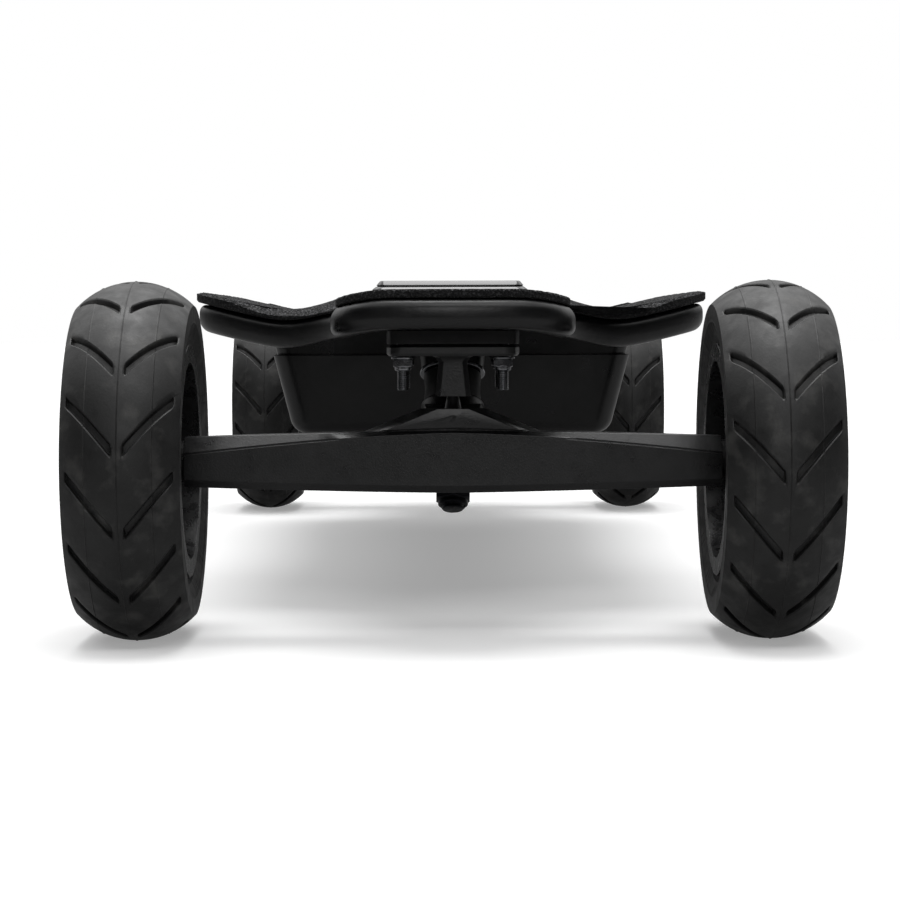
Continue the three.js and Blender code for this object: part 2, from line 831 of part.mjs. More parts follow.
function basePlate() {
  const plate = prism(platePlan(0), plateUnder, plateTop, plateBevel);
  const length = kingpinHeadFloor + kingpinHead + 2 * cutOverrun;
  const seat = onKingpin(turned([
    [0, plateSeat], [ringRadius, plateSeat], [ringRadius + seatFlare, length], [0, length],
  ], 14));
  const slice = box(vec(-plateHalfWidth, plateFront, 0), vec(plateHalfWidth, plateBack, plateTop - plateBevel));
  const rib = loft([-1, 1].map((side) => [
    vec(side * bossTopHalf / 2, -pivotOutset, plateUnder - bossTopHalf),
    vec(side * bossTopHalf / 2, ringInset, plateUnder - bossTopHalf),
    vec(side * bossTopHalf / 2, ringInset, plateUnder + plateBevel),
    vec(side * bossTopHalf / 2, -pivotOutset, plateUnder + plateBevel),
  ]));
  const body = joined([plate, seat.intersect(slice), pivotBoss(), rib]);
  return without(body, [
    ...boltHoles(boltRadius + boltFit, plateUnder - cutOverrun, plateTop + cutOverrun),
    onKingpin(disc(kingpinRadius + boltFit, plateSeat - cutOverrun, length, 12)),
    onKingpin(disc(kingpinHeadRadius + boltFit, kingpinHeadFloor - seatGap, length + cutOverrun, 12)),
    onKingpin(disc(boardWasherRadius + seatGap, ringHalf, plateSeat, 14)),
    cupBody(seatGap, cutOverrun),
  ]);
}

// The cup: a cone of soft plastic round the pivot ball, open at the boss's mouth
function cupBody(grow, overrun) {
  const ballSeat = pivotBall + cupFit + cupWall;
  const mouth = ballSeat + cupWall;
  const drop = pivotHeight - pivotMouth;
  return moved(turned([
    [0, -drop - overrun], [mouth + grow, -drop - overrun], [mouth + grow, -drop], [ballSeat + grow, 0], [ballSeat + grow, ballSeat / 2], [0, ballSeat + grow],
  ], 12), matrixFor(ballMiddle));
}

function pivotCup() {
  const ballSeat = pivotBall + cupFit;
  const mouth = ballSeat + cupWall;
  const drop = pivotHeight - pivotMouth;
  const hollow = moved(turned([
    [0, -drop - cutOverrun], [mouth, -drop - cutOverrun], [mouth, -drop],
    [ballSeat, 0], [ballSeat * Math.SQRT1_2, ballSeat * Math.SQRT1_2], [0, ballSeat + cupFit],
  ], 12), matrixFor(ballMiddle));
  return cupBody(0, 0).subtract(hollow);
}

function kingpin() {
  const shape = [
    [0, kingpinEnd], [kingpinRadius - edgeBreak, kingpinEnd], [kingpinRadius, kingpinEnd + edgeBreak],
    [kingpinRadius, kingpinHeadFloor], [kingpinHeadRadius, kingpinHeadFloor],
    [kingpinHeadRadius, kingpinHeadFloor + kingpinHead], [0, kingpinHeadFloor + kingpinHead],
  ];
  return onKingpin(turned(shape, 12));
}

function bushing(bottom, top) {
  const lip = (top - bottom) / 5;
  return onKingpin(turned([
    [bushingBore, bottom], [bushingRadius, bottom], [bushingRadius, bottom + lip],
    [bushingWaist, bottom + 2 * lip], [bushingWaist, top - 2 * lip],
    [bushingRadius, top - lip], [bushingRadius, top], [bushingBore, top],
  ], 12));
}

function washer(radius, bottom, top) {
  return onKingpin(ringOf(bushingBore, radius, bottom, top, 14));
}

function kingpinNut() {
  const nut = prism(hexagon(nutFlats), nutEnd, nutTopEnd - seatGap, edgeBreak);
  return onKingpin(nut.subtract(disc(kingpinRadius + seatGap, nutEnd - cutOverrun, nutTopEnd + cutOverrun, 12)));
}

const hubHalf = 15.5;
const shoulderEnd = wheelStation - hubHalf - seatGap;

// The hanger: a beam with an arched front face, a web up to the pivot pin and a ring round the kingpin
const beamHalf = 112;
const beamRear = 8.8;
const beamFront = -13;
const beamEndFront = -10.5;
const beamBottom = 61.8;
const beamEndBottom = 64.4;
const beamTop = 87.6;
const beamEndTop = 85;
const faceEndTop = 77.6;
const beamChamfer = 3;
const ledgeSlopeShare = 0.8;
const webApex = 96.8;
const webApexHalf = 6.4;
const webFrontHalf = 36;
const webBackSpread = 7;
const webSetback = 1;
const shoulderRadius = 8.4;
const webApexDepth = 3.2;
const beamShares = [-1, 0, 1];
const beamToeShare = 0.7;
const yokeRise = 2;
const yokeNeckShare = 0.8;
const yokeRoot = 5;
const yokeMiddleShare = 0.9;
const yokeEndShare = 0.98;
const yokeHeightShare = 0.8;

function beam() {
  const rings = beamShares.map((share) => {
    const out = Math.abs(share);
    const bottom = THREE.MathUtils.lerp(beamBottom, beamEndBottom, out);
    const top = THREE.MathUtils.lerp(beamTop, beamEndTop, out);
    const face = THREE.MathUtils.lerp(beamTop - beamChamfer / 3, faceEndTop, out);
    const front = THREE.MathUtils.lerp(beamFront, beamEndFront, out);
    const ledge = front + (top - face) * ledgeSlopeShare;
    const x = share * beamHalf;
    return [
      vec(x, front + beamChamfer * beamToeShare, bottom), vec(x, beamRear - beamChamfer, bottom),
      vec(x, beamRear, bottom + beamChamfer), vec(x, beamRear, top - beamChamfer),
      vec(x, beamRear - beamChamfer, top), vec(x, ledge, top),
      vec(x, front, face), vec(x, front, bottom + beamChamfer),
    ];
  });
  return loft(rings);
}

function web() {
  const ring = (half, front, back, z) => [
    vec(-half, front, z), vec(half, front, z),
    vec(half + webBackSpread, back, z), vec(-half - webBackSpread, back, z),
  ];
  const low = beamTop - beamChamfer;
  return loft([
    ring(webFrontHalf, beamFront + webSetback, beamRear - beamChamfer, low),
    ring(webApexHalf, -pivotOutset - webApexDepth, -pivotOutset + 2 * webApexDepth, webApex),
  ]);
}

function pivotPin() {
  const foot = webApex - webApexDepth;
  const flare = pivotMouth - seatGap - edgeBreak;
  return moved(turned([
    [0, foot], [webApexDepth, foot], [webApexDepth, webApex], [neckRadius, flare],
    [neckRadius, pivotHeight - pivotBall * Math.SQRT1_2], [pivotBall, pivotHeight],
    [pivotBall * Math.SQRT1_2, pivotHeight + pivotBall * Math.SQRT1_2], [0, pivotHeight + pivotBall],
  ], 10), matrixFor(vec(0, -pivotOutset, 0)));
}

function yoke() {
  const ring = (half, y, z, height) => [
    vec(-half, y, z - height), vec(-half, y, z + height), vec(half, y, z + height), vec(half, y, z - height),
  ];
  return loft([
    ring(ringRadius * yokeNeckShare, beamRear - beamChamfer - yokeRoot, beamTop + yokeRise, yokeRoot),
    ring(ringRadius * yokeMiddleShare, beamRear, ringHeight + yokeRise, ringHalf * yokeHeightShare),
    ring(ringRadius * yokeEndShare, ringInset, ringHeight, ringHalf * yokeHeightShare),
  ]);
}

function hanger() {
  const ring = onKingpin(disc(ringRadius, -ringHalf, ringHalf, 14));
  const shoulder = alongX(disc(shoulderRadius, -shoulderEnd, shoulderEnd, 12));
  const body = joined([beam(), web(), pivotPin(), yoke(), ring, shoulder]);
  const swing = kingpinRadius + ringHalf * Math.sin(leanLimit) + leanRoom;
  return without(body, [
    onKingpin(disc(swing, -ringHalf - cutOverrun, ringHalf + cutOverrun, 12)),
    onKingpin(disc(boardWasherRadius + leanRoom, ringHalf, plateSeat, 12)),
    onKingpin(disc(bushingRadius + leanRoom, nutEnd, -ringHalf, 12)),
    alongX(disc(axleRadius + seatGap, -shoulderEnd - cutOverrun, shoulderEnd + cutOverrun, 12)),
  ]);
}

// A body drawn about Z, laid along X through the axle's middle
function alongX(body) {
  return moved(body, matrixFor(vec(0, 0, axleHeight), [0, Math.PI / 2, 0]));
}

const axleStand = 0.8;
const axleNutFlats = 15;
const axleNutHeight = 6;
const axleReach = wheelStation + hubHalf + seatGap + axleNutHeight + axleStand;

function axle() {
  return alongX(turned([
    [0, -axleReach], [axleRadius - edgeBreak, -axleReach], [axleRadius, -axleReach + edgeBreak],
    [axleRadius, axleReach - edgeBreak], [axleRadius - edgeBreak, axleReach], [0, axleReach],
  ], 12));
}

function axleNut() {
  const start = hubHalf + seatGap;
  return prism(hexagon(axleNutFlats), start, start + axleNutHeight)
    .subtract(disc(axleRadius + seatGap, 0, start + axleNutHeight + cutOverrun, 12));
}

const boltNutFlats = 8;
const boltNutHeight = 5;
const boltEnd = 104.6;

function mountingBolt({ x, y }) {
  const top = deckClearance + deckThickness - boltHeadSink;
  const shank = turned([
    [0, boltEnd], [boltRadius, boltEnd],
    [boltRadius, top - boltHeadHeight], [boltHeadRadius, top - boltHeadHeight],
    [boltHeadRadius, top], [0, top],
  ], 6);
  const nut = prism(hexagon(boltNutFlats), plateUnder - seatGap - boltNutHeight, plateUnder - seatGap);
  return moved(shank.add(nut), matrixFor(vec(x, y, 0)));
}

for (const end of ['front', 'rear']) {
  const truck = new THREE.Group();
  truck.applyMatrix4(truckMatrix(end));
  board.add(truck);
  piece(`${end}_riser`, 'urethane', riser(), truck);
  piece(`${end}_baseplate`, 'casting', basePlate(), truck);
  piece(`${end}_pivot_cup`, 'urethane', pivotCup(), truck);
  piece(`${end}_kingpin`, 'blackSteel', kingpin(), truck);
  piece(`${end}_kingpin_nut`, 'blackSteel', kingpinNut(), truck);
  piece(`${end}_board_washer`, 'steel', washer(boardWasherRadius, boardBushingTop + seatGap, boardWasherTop), truck);
  piece(`${end}_board_bushing`, 'urethane', bushing(ringHalf + seatGap, boardBushingTop), truck);
  piece(`${end}_road_bushing`, 'urethane', bushing(roadBushingEnd, -ringHalf - seatGap), truck);
  piece(`${end}_road_washer`, 'blackSteel', washer(roadWasherRadius, roadWasherEnd, roadBushingEnd - seatGap), truck);
  piece(`${end}_hanger`, 'casting', hanger(), truck);
  piece(`${end}_axle`, 'steel', axle(), truck);
  for (const place of boltPlaces) piece(`${end}_bolt_${place.label}`, 'steel', mountingBolt(place), truck);
}

// Wheels, drawn about Z with +Z outboard

const rimRadius = 45.4;
const flangeRadius = 49;
const flangeWidth = 1.8;
const beadHalf = 20;
const shoulderHalf = 23.6;
const shoulderDrop = 10;
const bulgeDrop = 15;
const crownRadius = (shoulderHalf ** 2 + shoulderDrop ** 2) / (2 * shoulderDrop);
const rimSegments = 22;
const crownSteps = 4;

function treadRadius(x) {
  return tyreRadius - crownRadius + Math.sqrt(crownRadius ** 2 - x ** 2);
}

// The tread: pairs of slanting grooves that meet near the crown, like arrows round the tyre
const grooveCount = 14;
const grooveInner = 2.1;
const grooveOuter = 21.4;
const grooveSweep = THREE.MathUtils.degToRad(17.7);
const grooveWidth = 3.2;
const grooveDepth = 2.2;
const cutterRise = 4.4;
const columnsPerGroove = 2;

// How far along its groove a place across the tread lies: 0 at the crown end and 1 at the shoulder end
function grooveShare(x) {
  return (Math.min(Math.abs(x), shoulderHalf) - grooveInner) / (grooveOuter - grooveInner);
}

// The tyre before its grooves are cut. Its columns slant as the grooves do, and run midway between them.
function tyreBlank(first, sweep) {
  const segments = grooveCount * columnsPerGroove;
  const bore = rimRadius / Math.cos(Math.PI / segments) + seatGap;
  const profile = [[bore, -beadHalf]];
  profile.push([flangeRadius + seatGap, -beadHalf]);
  profile.push([tyreRadius - bulgeDrop, -tyreWidth / 2]);
  for (let i = 0; i <= crownSteps; i++) {
    const x = shoulderHalf * (2 * i / crownSteps - 1);
    profile.push([treadRadius(x), x]);
  }
  profile.push([tyreRadius - bulgeDrop, tyreWidth / 2]);
  profile.push([flangeRadius + seatGap, beadHalf]);
  profile.push([bore, beadHalf]);
  const geometry = geometryOf(turned(profile, segments));
  const position = geometry.attributes.position;
  const start = first + Math.PI / 2 + Math.PI / segments;
  for (let i = 0; i < position.count; i++) {
    const point = vec(0, 0, 0).fromBufferAttribute(position, i);
    point.applyAxisAngle(vec(0, 0, 1), start + sweep * grooveShare(point.z));
    position.setXYZ(i, point.x, point.y, point.z);
  }
  return solid(geometry);
}

function grooveCutter(apex, side, sweep) {
  const at = (x) => {
    const angle = apex + grooveShare(x) * sweep;
    return vec(treadRadius(x) * Math.cos(angle), treadRadius(x) * Math.sin(angle), x);
  };
  const ends = [side * grooveInner, side * grooveOuter].map(at);
  const along = ends[1].clone().sub(ends[0]).normalize();
  return loft(ends.map((middle) => {
    const centre = vec(middle.x, middle.y, 0).normalize().multiplyScalar(tyreRadius - crownRadius);
    const out = middle.clone().sub(centre).normalize();
    const across = vec(0, 0, 0).crossVectors(along, out).multiplyScalar(grooveWidth / 2);
    const corner = (width, height) => middle.clone().addScaledVector(across, width).addScaledVector(out, height);
    return [
      corner(-1, -grooveDepth), corner(1, -grooveDepth),
      corner(1, cutterRise), corner(-1, cutterRise),
    ];
  }));
}

function tyre(firstApex, turn) {
  const cutters = [];
  const pitch = 2 * Math.PI / grooveCount;
  const first = -Math.PI / 2 + turn * THREE.MathUtils.degToRad(firstApex);
  const sweep = turn * grooveSweep;
  for (let i = 0; i < grooveCount; i++) {
    for (const side of [-1, 1]) cutters.push(grooveCutter(first + i * pitch, side, sweep));
  }
  return without(tyreBlank(first, sweep), cutters);
}

// The rim's barrel and its flanges, from the inboard edge outwards round the section
const barrelWall = 3.9;

function barrelProfile() {
  const lip = beadHalf + seatGap;
  const edge = lip + flangeWidth;
  return [
    [rimRadius - barrelWall, -edge], [flangeRadius, -edge], [flangeRadius, -lip], [rimRadius, -lip],
    [rimRadius, lip], [flangeRadius, lip], [flangeRadius, edge],
  ];
}

const hubRadius = 15;
const bearingRadius = 11;
const bearingWidth = 6;
const hubBore = 8.5;
const spokeCount = 5;
const spokeRootWidth = 11;
const spokeTipWidth = 8;
const spokeSweep = THREE.MathUtils.degToRad(34);
const spokeInboard = -3;
const spokeOutboard = 7;
const spokeSteps = 3;
const spokeBite = 1;

function spoke(turn) {
  const inner = hubRadius - spokeBite;
  const outer = rimRadius - barrelWall + spokeBite;
  const sides = [-1, 1].map((side) => {
    const edge = [];
    for (let i = 0; i <= spokeSteps; i++) {
      const share = i / spokeSteps;
      const radius = THREE.MathUtils.lerp(inner, outer, share);
      const half = THREE.MathUtils.lerp(spokeRootWidth, spokeTipWidth, share) / 2;
      const angle = turn + share * spokeSweep + side * half / radius;
      edge.push(new THREE.Vector2(radius * Math.cos(angle), radius * Math.sin(angle)));
    }
    return edge;
  });
  return prism(new THREE.Shape([...sides[0], ...sides[1].reverse()]), spokeInboard, spokeOutboard);
}

function spokedRim() {
  const edge = beadHalf + seatGap + flangeWidth;
  const barrel = turned([...barrelProfile(), [rimRadius - barrelWall, edge]], rimSegments);
  const pocket = hubHalf - bearingWidth - seatGap;
  const hub = turned([
    [hubBore, -pocket], [bearingRadius + seatGap, -pocket], [bearingRadius + seatGap, -hubHalf],
    [hubRadius, -hubHalf], [hubRadius, hubHalf], [bearingRadius + seatGap, hubHalf],
    [bearingRadius + seatGap, pocket], [hubBore, pocket],
  ], 12);
  const spokes = [];
  for (let i = 0; i < spokeCount; i++) spokes.push(spoke(i * 2 * Math.PI / spokeCount));
  return joined([barrel, hub, ...spokes]);
}

function bearing(side) {
  const outer = hubHalf;
  const inner = hubHalf - bearingWidth;
  const span = side > 0 ? [inner, outer] : [-outer, -inner];
  return ringOf(axleRadius + seatGap, bearingRadius, ...span, 12);
}

// The hub motor: a can that carries the tyre, a cover on its inboard side and a fixed stator
const canEndWall = 4;
const canEndDish = 4;
const canHub = 5.5;
const coverWall = 3;
const coverInset = 4.1;
const runningGap = 0.5;
const statorTeeth = 9;
const statorRadius = 39;
const statorRoot = 17;
const toothTipShare = 0.62;
const toothNeckShare = 0.3;
const statorInboard = -14;
const statorOutboard = 5;

function motorCan() {
  const edge = beadHalf + seatGap + flangeWidth;
  const inner = rimRadius - barrelWall;
  const bore = axleRadius + runningGap;
  return turned([
    ...barrelProfile(),
    [inner, edge], [inner - canEndDish, edge - canEndDish], [hubRadius, hubHalf], [bore, hubHalf],
    [bore, hubHalf - canHub], [hubRadius - edgeBreak, hubHalf - canHub], [inner, edge - canEndDish - canEndWall],
  ], rimSegments);
}

function motorCover() {
  const edge = beadHalf + seatGap + flangeWidth;
  const outboard = -edge + coverInset + coverWall;
  return ringOf(shoulderRadius + runningGap, rimRadius - barrelWall - seatGap, -edge + coverInset, outboard, rimSegments);
}

function stator() {
  const shape = new THREE.Shape();
  const pitch = 2 * Math.PI / statorTeeth;
  const outline = [];
  for (let tooth = 0; tooth < statorTeeth; tooth++) {
    const middle = tooth * pitch;
    const neck = pitch * toothNeckShare / 2 * (statorRadius / statorRoot) / 2;
    const tip = pitch * toothTipShare / 2;
    for (const [radius, angle] of [
      [statorRoot, -neck], [statorRadius, -tip], [statorRadius, tip], [statorRoot, neck],
    ]) outline.push(new THREE.Vector2(radius * Math.cos(middle + angle), radius * Math.sin(middle + angle)));
  }
  shape.setFromPoints(outline);
  const core = prism(shape, statorInboard, statorOutboard);
  const boss = disc(shoulderRadius, -hubHalf, hubHalf - canHub - seatGap, 12);
  return without(core.add(boss), [disc(axleRadius + seatGap, -hubHalf - cutOverrun, hubHalf, 12)]);
}

// The wheels: where the first tread arrow stands above the axle on the side that faces the nose
const apexAngles = { front_left: 56.9, front_right: 48.2, rear_left: 50, rear_right: 40 };

for (const end of ['front', 'rear']) {
  for (const [label, side] of [['left', -1], ['right', 1]]) {
    const corner = `${end}_${label}`;
    const wheel = new THREE.Group();
    wheel.position.set(side * wheelStation, end === 'front' ? axleStation : -axleStation, axleHeight);
    wheel.rotation.y = side * Math.PI / 2;
    board.add(wheel);
    piece(`${corner}_tyre`, 'rubber', tyre(apexAngles[corner], -side), wheel);
    if (end === 'front') {
      piece(`${corner}_rim`, 'plastic', spokedRim(), wheel);
      piece(`${corner}_inner_bearing`, 'steel', bearing(-1), wheel);
      piece(`${corner}_outer_bearing`, 'steel', bearing(1), wheel);
    } else {
      piece(`${corner}_motor_can`, 'casting', motorCan(), wheel);
      piece(`${corner}_motor_cover`, 'casting', motorCover(), wheel);
      piece(`${corner}_stator`, 'copper', stator(), wheel);
    }
    piece(`${corner}_axle_nut`, 'steel', axleNut(), wheel);
  }
}

export default board;
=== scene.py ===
"""A powered all-terrain board: its looks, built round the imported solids.

Lengths are metres. The board stands on z = 0 with its middle over the origin. Its nose points to -Y, and -X is
its left side as the camera sees it.
"""

import json
import logging
import math
import random
from collections.abc import Callable
from dataclasses import dataclass
from enum import Enum

import bpy
from mathutils import Matrix, Vector

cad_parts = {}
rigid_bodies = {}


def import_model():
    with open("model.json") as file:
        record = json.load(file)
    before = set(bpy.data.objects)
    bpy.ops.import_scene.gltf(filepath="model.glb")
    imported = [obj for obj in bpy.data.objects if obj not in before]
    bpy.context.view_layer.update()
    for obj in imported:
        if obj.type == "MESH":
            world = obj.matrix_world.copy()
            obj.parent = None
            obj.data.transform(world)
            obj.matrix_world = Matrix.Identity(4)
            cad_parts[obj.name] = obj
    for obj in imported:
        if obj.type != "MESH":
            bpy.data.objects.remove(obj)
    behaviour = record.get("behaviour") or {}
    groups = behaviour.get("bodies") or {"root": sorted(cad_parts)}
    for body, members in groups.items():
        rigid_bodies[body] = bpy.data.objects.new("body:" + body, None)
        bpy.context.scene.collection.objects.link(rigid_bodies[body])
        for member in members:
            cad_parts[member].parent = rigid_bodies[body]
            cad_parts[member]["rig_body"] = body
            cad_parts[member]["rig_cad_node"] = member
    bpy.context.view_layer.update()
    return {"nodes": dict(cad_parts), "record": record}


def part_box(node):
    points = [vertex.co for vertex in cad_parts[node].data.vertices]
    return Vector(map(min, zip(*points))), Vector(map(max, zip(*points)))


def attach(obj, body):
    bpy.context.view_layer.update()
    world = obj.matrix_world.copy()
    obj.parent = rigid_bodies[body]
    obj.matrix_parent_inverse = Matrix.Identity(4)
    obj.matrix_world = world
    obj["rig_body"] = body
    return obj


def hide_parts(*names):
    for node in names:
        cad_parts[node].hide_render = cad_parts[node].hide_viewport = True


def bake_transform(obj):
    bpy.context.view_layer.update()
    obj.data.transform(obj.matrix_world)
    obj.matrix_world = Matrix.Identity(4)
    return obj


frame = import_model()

WELD = 1e-5
FLAT_ANGLE = math.radians(0.6)
SHARP_ANGLE = math.radians(32)
QUARTER_TURN = math.pi / 2
HALF_TURN = math.pi
FULL_TURN = 2 * math.pi
THIRD = 1 / 3

# Faces round a turned piece, by its size
ROUND_LARGE = 64
ROUND_MIDDLE = 48
ROUND_SMALL = 32

# Half the angle that one side of a hexagon takes
HEX_HALF = math.pi / 6

# The faces of a rounding, and the seed of the foam's grit
ROUNDING_SEGMENTS = 3
GRIT_SEED = 7

# Where each channel stands in a hex value, and its largest level
CHANNEL_SHIFTS = (16, 8, 0)
FULL_LEVEL = 0xFF

# The sRGB curve: a straight foot up to its knee, then a power
SRGB_KNEE = 0.04045
SRGB_SLOPE = 12.92
SRGB_OFFSET = 0.055
SRGB_POWER = 2.4

# How quickly a noise's finer layers fade, and how many it has
NOISE_FADE = 0.55
FINE_DETAIL = 2.0
SLOW_DETAIL = 3.0
PATCH_DETAIL = 5.0

# A colour mix's inputs and its output, by number
MIX_SHARE = 0
MIX_FIRST = 6
MIX_SECOND = 7
MIX_COLOUR = 2

log = logging.getLogger("board")

Piece = bpy.types.Object
Tree = bpy.types.NodeTree
Socket = bpy.types.NodeSocket


# Colours and nodes


def linear(code: int) -> tuple[float, float, float, float]:
    """The linear colour and full alpha of an sRGB hex value.

    Args:
        code: Red, green and blue, two hex digits each.

    Returns:
        Red, green, blue and alpha.
    """
    channels = []
    for shift in CHANNEL_SHIFTS:
        level = (code >> shift & FULL_LEVEL) / FULL_LEVEL
        if level <= SRGB_KNEE:
            channels.append(level / SRGB_SLOPE)
        else:
            channels.append(((level + SRGB_OFFSET) / (1 + SRGB_OFFSET)) ** SRGB_POWER)
    return (*channels, 1.0)


def add_node(tree: Tree, kind: str, settings: dict, links: dict | None = None) -> bpy.types.Node:
    """Adds a node with its settings and links.

    Args:
        tree: The tree that gets the node.
        kind: The node's type name.
        settings: Values by the name of a property, or by the name or number of an input.
        links: Source sockets by the name or number of an input.

    Returns:
        The new node.
    """
    node = tree.nodes.new(kind)
    for name, value in settings.items():
        if isinstance(name, int) or name in node.inputs:
            node.inputs[name].default_value = value
        else:
            setattr(node, name, value)
    for name, source in (links or {}).items():
        tree.links.new(source, node.inputs[name])
    return node


# Finishes


@dataclass(frozen=True)
class Finish:
    """What a surface is made of.

    The two colours are the dark and the light of a slow drift over the surface, whose size is drift. The
    grain is the small relief that the process leaves: its size across and its height.
    """

    name: str
    dark: int
    light: int
    drift: float
    rough_low: float
    rough_high: float
    grain: float
    relief: float
    metallic: float = 0.0
    ior: float = 1.5
    coat: float = 0.0
    coat_rough: float = 0.1
    specular: float = 0.5
    edge: float = 0.0004
    edge_samples: int = 4
    wear_per_drift: float = 3.0
    wear_low: float = 0.3
    wear_high: float = 0.7
    ramp_start: float = 0.35
    ramp_end: float = 0.65

    def build(self) -> bpy.types.Material:
        """Makes the material.

        Returns:
            The material, with its patterns on the piece's own coordinates.
        """
        material = bpy.data.materials.new(self.name)
        material.use_nodes = True
        tree = material.node_tree
        tree.nodes.clear()
        place = add_node(tree, "ShaderNodeTexCoord", {}).outputs["Object"]
        tint = self.tint(tree, place)
        rough = self.roughness(tree, place)
        bump = self.bump(tree, place)
        sockets = {
            "Metallic": self.metallic,
            "IOR": self.ior,
            "Coat Weight": self.coat,
            "Coat Roughness": self.coat_rough,
            "Specular IOR Level": self.specular,
        }
        links = {"Base Color": tint, "Roughness": rough, "Normal": bump}
        shader = add_node(tree, "ShaderNodeBsdfPrincipled", sockets, links)
        add_node(tree, "ShaderNodeOutputMaterial", {}, {"Surface": shader.outputs[0]})
        material.diffuse_color = linear(self.light)
        return material

    def tint(self, tree: Tree, place: Socket) -> Socket:
        """The slow drift between the dark and the light colour.

        Args:
            tree: The material's tree.
            place: The coordinates.

        Returns:
            The colour.
        """
        settings = {"Scale": 1 / self.drift, "Detail": SLOW_DETAIL, "Roughness": NOISE_FADE}
        drift = add_node(tree, "ShaderNodeTexNoise", settings, {"Vector": place}).outputs["Fac"]
        ramp = add_node(tree, "ShaderNodeValToRGB", {}, {"Fac": drift})
        dark, light = ramp.color_ramp.elements
        dark.position = self.ramp_start
        dark.color = linear(self.dark)
        light.position = self.ramp_end
        light.color = linear(self.light)
        return ramp.outputs["Color"]

    def roughness(self, tree: Tree, place: Socket) -> Socket:
        """The roughness, which drifts between its two values.

        Args:
            tree: The material's tree.
            place: The coordinates.

        Returns:
            The roughness.
        """
        scale = self.wear_per_drift / self.drift
        settings = {"Scale": scale, "Detail": SLOW_DETAIL, "Roughness": NOISE_FADE}
        wear = add_node(tree, "ShaderNodeTexNoise", settings, {"Vector": place}).outputs["Fac"]
        settings = {
            "From Min": self.wear_low,
            "From Max": self.wear_high,
            "To Min": self.rough_low,
            "To Max": self.rough_high,
        }
        return add_node(tree, "ShaderNodeMapRange", settings, {"Value": wear}).outputs["Result"]

    def bump(self, tree: Tree, place: Socket) -> Socket:
        """The grain's relief, over edges that wear has softened.

        Args:
            tree: The material's tree.
            place: The coordinates.

        Returns:
            The bumped normal.
        """
        settings = {"Scale": 1 / self.grain, "Detail": FINE_DETAIL, "Roughness": NOISE_FADE}
        height = add_node(tree, "ShaderNodeTexNoise", settings, {"Vector": place}).outputs["Fac"]
        settings = {"samples": self.edge_samples, "Radius": self.edge}
        worn = add_node(tree, "ShaderNodeBevel", settings).outputs["Normal"]
        settings = {"Strength": 1.0, "Distance": self.relief}
        links = {"Height": height, "Normal": worn}
        return add_node(tree, "ShaderNodeBump", settings, links).outputs["Normal"]


@dataclass(frozen=True)
class MouldedRubber(Finish):
    """Vulcanised rubber from a polished mould, with pale road dust in soft patches."""

    dust: int = 0x454442
    dust_size: float = 0.011
    dust_start: float = 0.52
    dust_full: float = 0.74
    dust_share: float = 0.5

    def tint(self, tree: Tree, place: Socket) -> Socket:
        """The rubber's own drift, with dust over it in patches.

        Args:
            tree: The material's tree.
            place: The coordinates.

        Returns:
            The colour.
        """
        base = super().tint(tree, place)
        settings = {"Scale": 1 / self.dust_size, "Detail": PATCH_DETAIL, "Roughness": NOISE_FADE}
        patches = add_node(tree, "ShaderNodeTexNoise", settings, {"Vector": place}).outputs["Fac"]
        settings = {"From Min": self.dust_start, "From Max": self.dust_full, "To Max": self.dust_share}
        share = add_node(tree, "ShaderNodeMapRange", settings, {"Value": patches}).outputs["Result"]
        settings = {"data_type": "RGBA", MIX_SECOND: linear(self.dust)}
        links = {MIX_SHARE: share, MIX_FIRST: base}
        return add_node(tree, "ShaderNodeMix", settings, links).outputs[MIX_COLOUR]


@dataclass(frozen=True)
class GritFoam(Finish):
    """Closed-cell foam with an abraded face: pale grains between dark pits, painted palest where the face
    looks up, as glints of the light from above, and faint on its cut edge.
    """

    grain_light: int = 0x7A7A7C
    grain_start: float = 0.52
    grain_full: float = 0.66
    facing_start: float = 0.05
    facing_full: float = 0.5
    sanded_share: float = 0.8
    cut_share: float = 0.12

    def tint(self, tree: Tree, place: Socket) -> Socket:
        """Dark foam with a pale speckle on the tops of its grains, painted brighter where the face looks up,
        as glints of the light from above.

        Args:
            tree: The material's tree.
            place: The coordinates.

        Returns:
            The colour.
        """
        base = super().tint(tree, place)
        settings = {"Scale": 1 / self.grain, "Detail": SLOW_DETAIL, "Roughness": NOISE_FADE}
        speckle = add_node(tree, "ShaderNodeTexNoise", settings, {"Vector": place}).outputs["Fac"]
        settings = {"From Min": self.grain_start, "From Max": self.grain_full}
        grains = add_node(tree, "ShaderNodeMapRange", settings, {"Value": speckle}).outputs["Result"]
        # Painted glints: the pale speckle is strongest where the face looks up to the light, and faint on the
        # cut edge
        facing = add_node(tree, "ShaderNodeTexCoord", {}).outputs["Normal"]
        upward = add_node(tree, "ShaderNodeSeparateXYZ", {}, {0: facing}).outputs["Z"]
        settings = {
            "From Min": self.facing_start,
            "From Max": self.facing_full,
            "To Min": self.cut_share,
            "To Max": self.sanded_share,
        }
        upward_glint = add_node(tree, "ShaderNodeMapRange", settings, {"Value": upward}).outputs["Result"]
        links = {0: grains, 1: upward_glint}
        share = add_node(tree, "ShaderNodeMath", {"operation": "MULTIPLY"}, links).outputs[0]
        settings = {"data_type": "RGBA", MIX_SECOND: linear(self.grain_light)}
        links = {MIX_SHARE: share, MIX_FIRST: base}
        return add_node(tree, "ShaderNodeMix", settings, links).outputs[MIX_COLOUR]


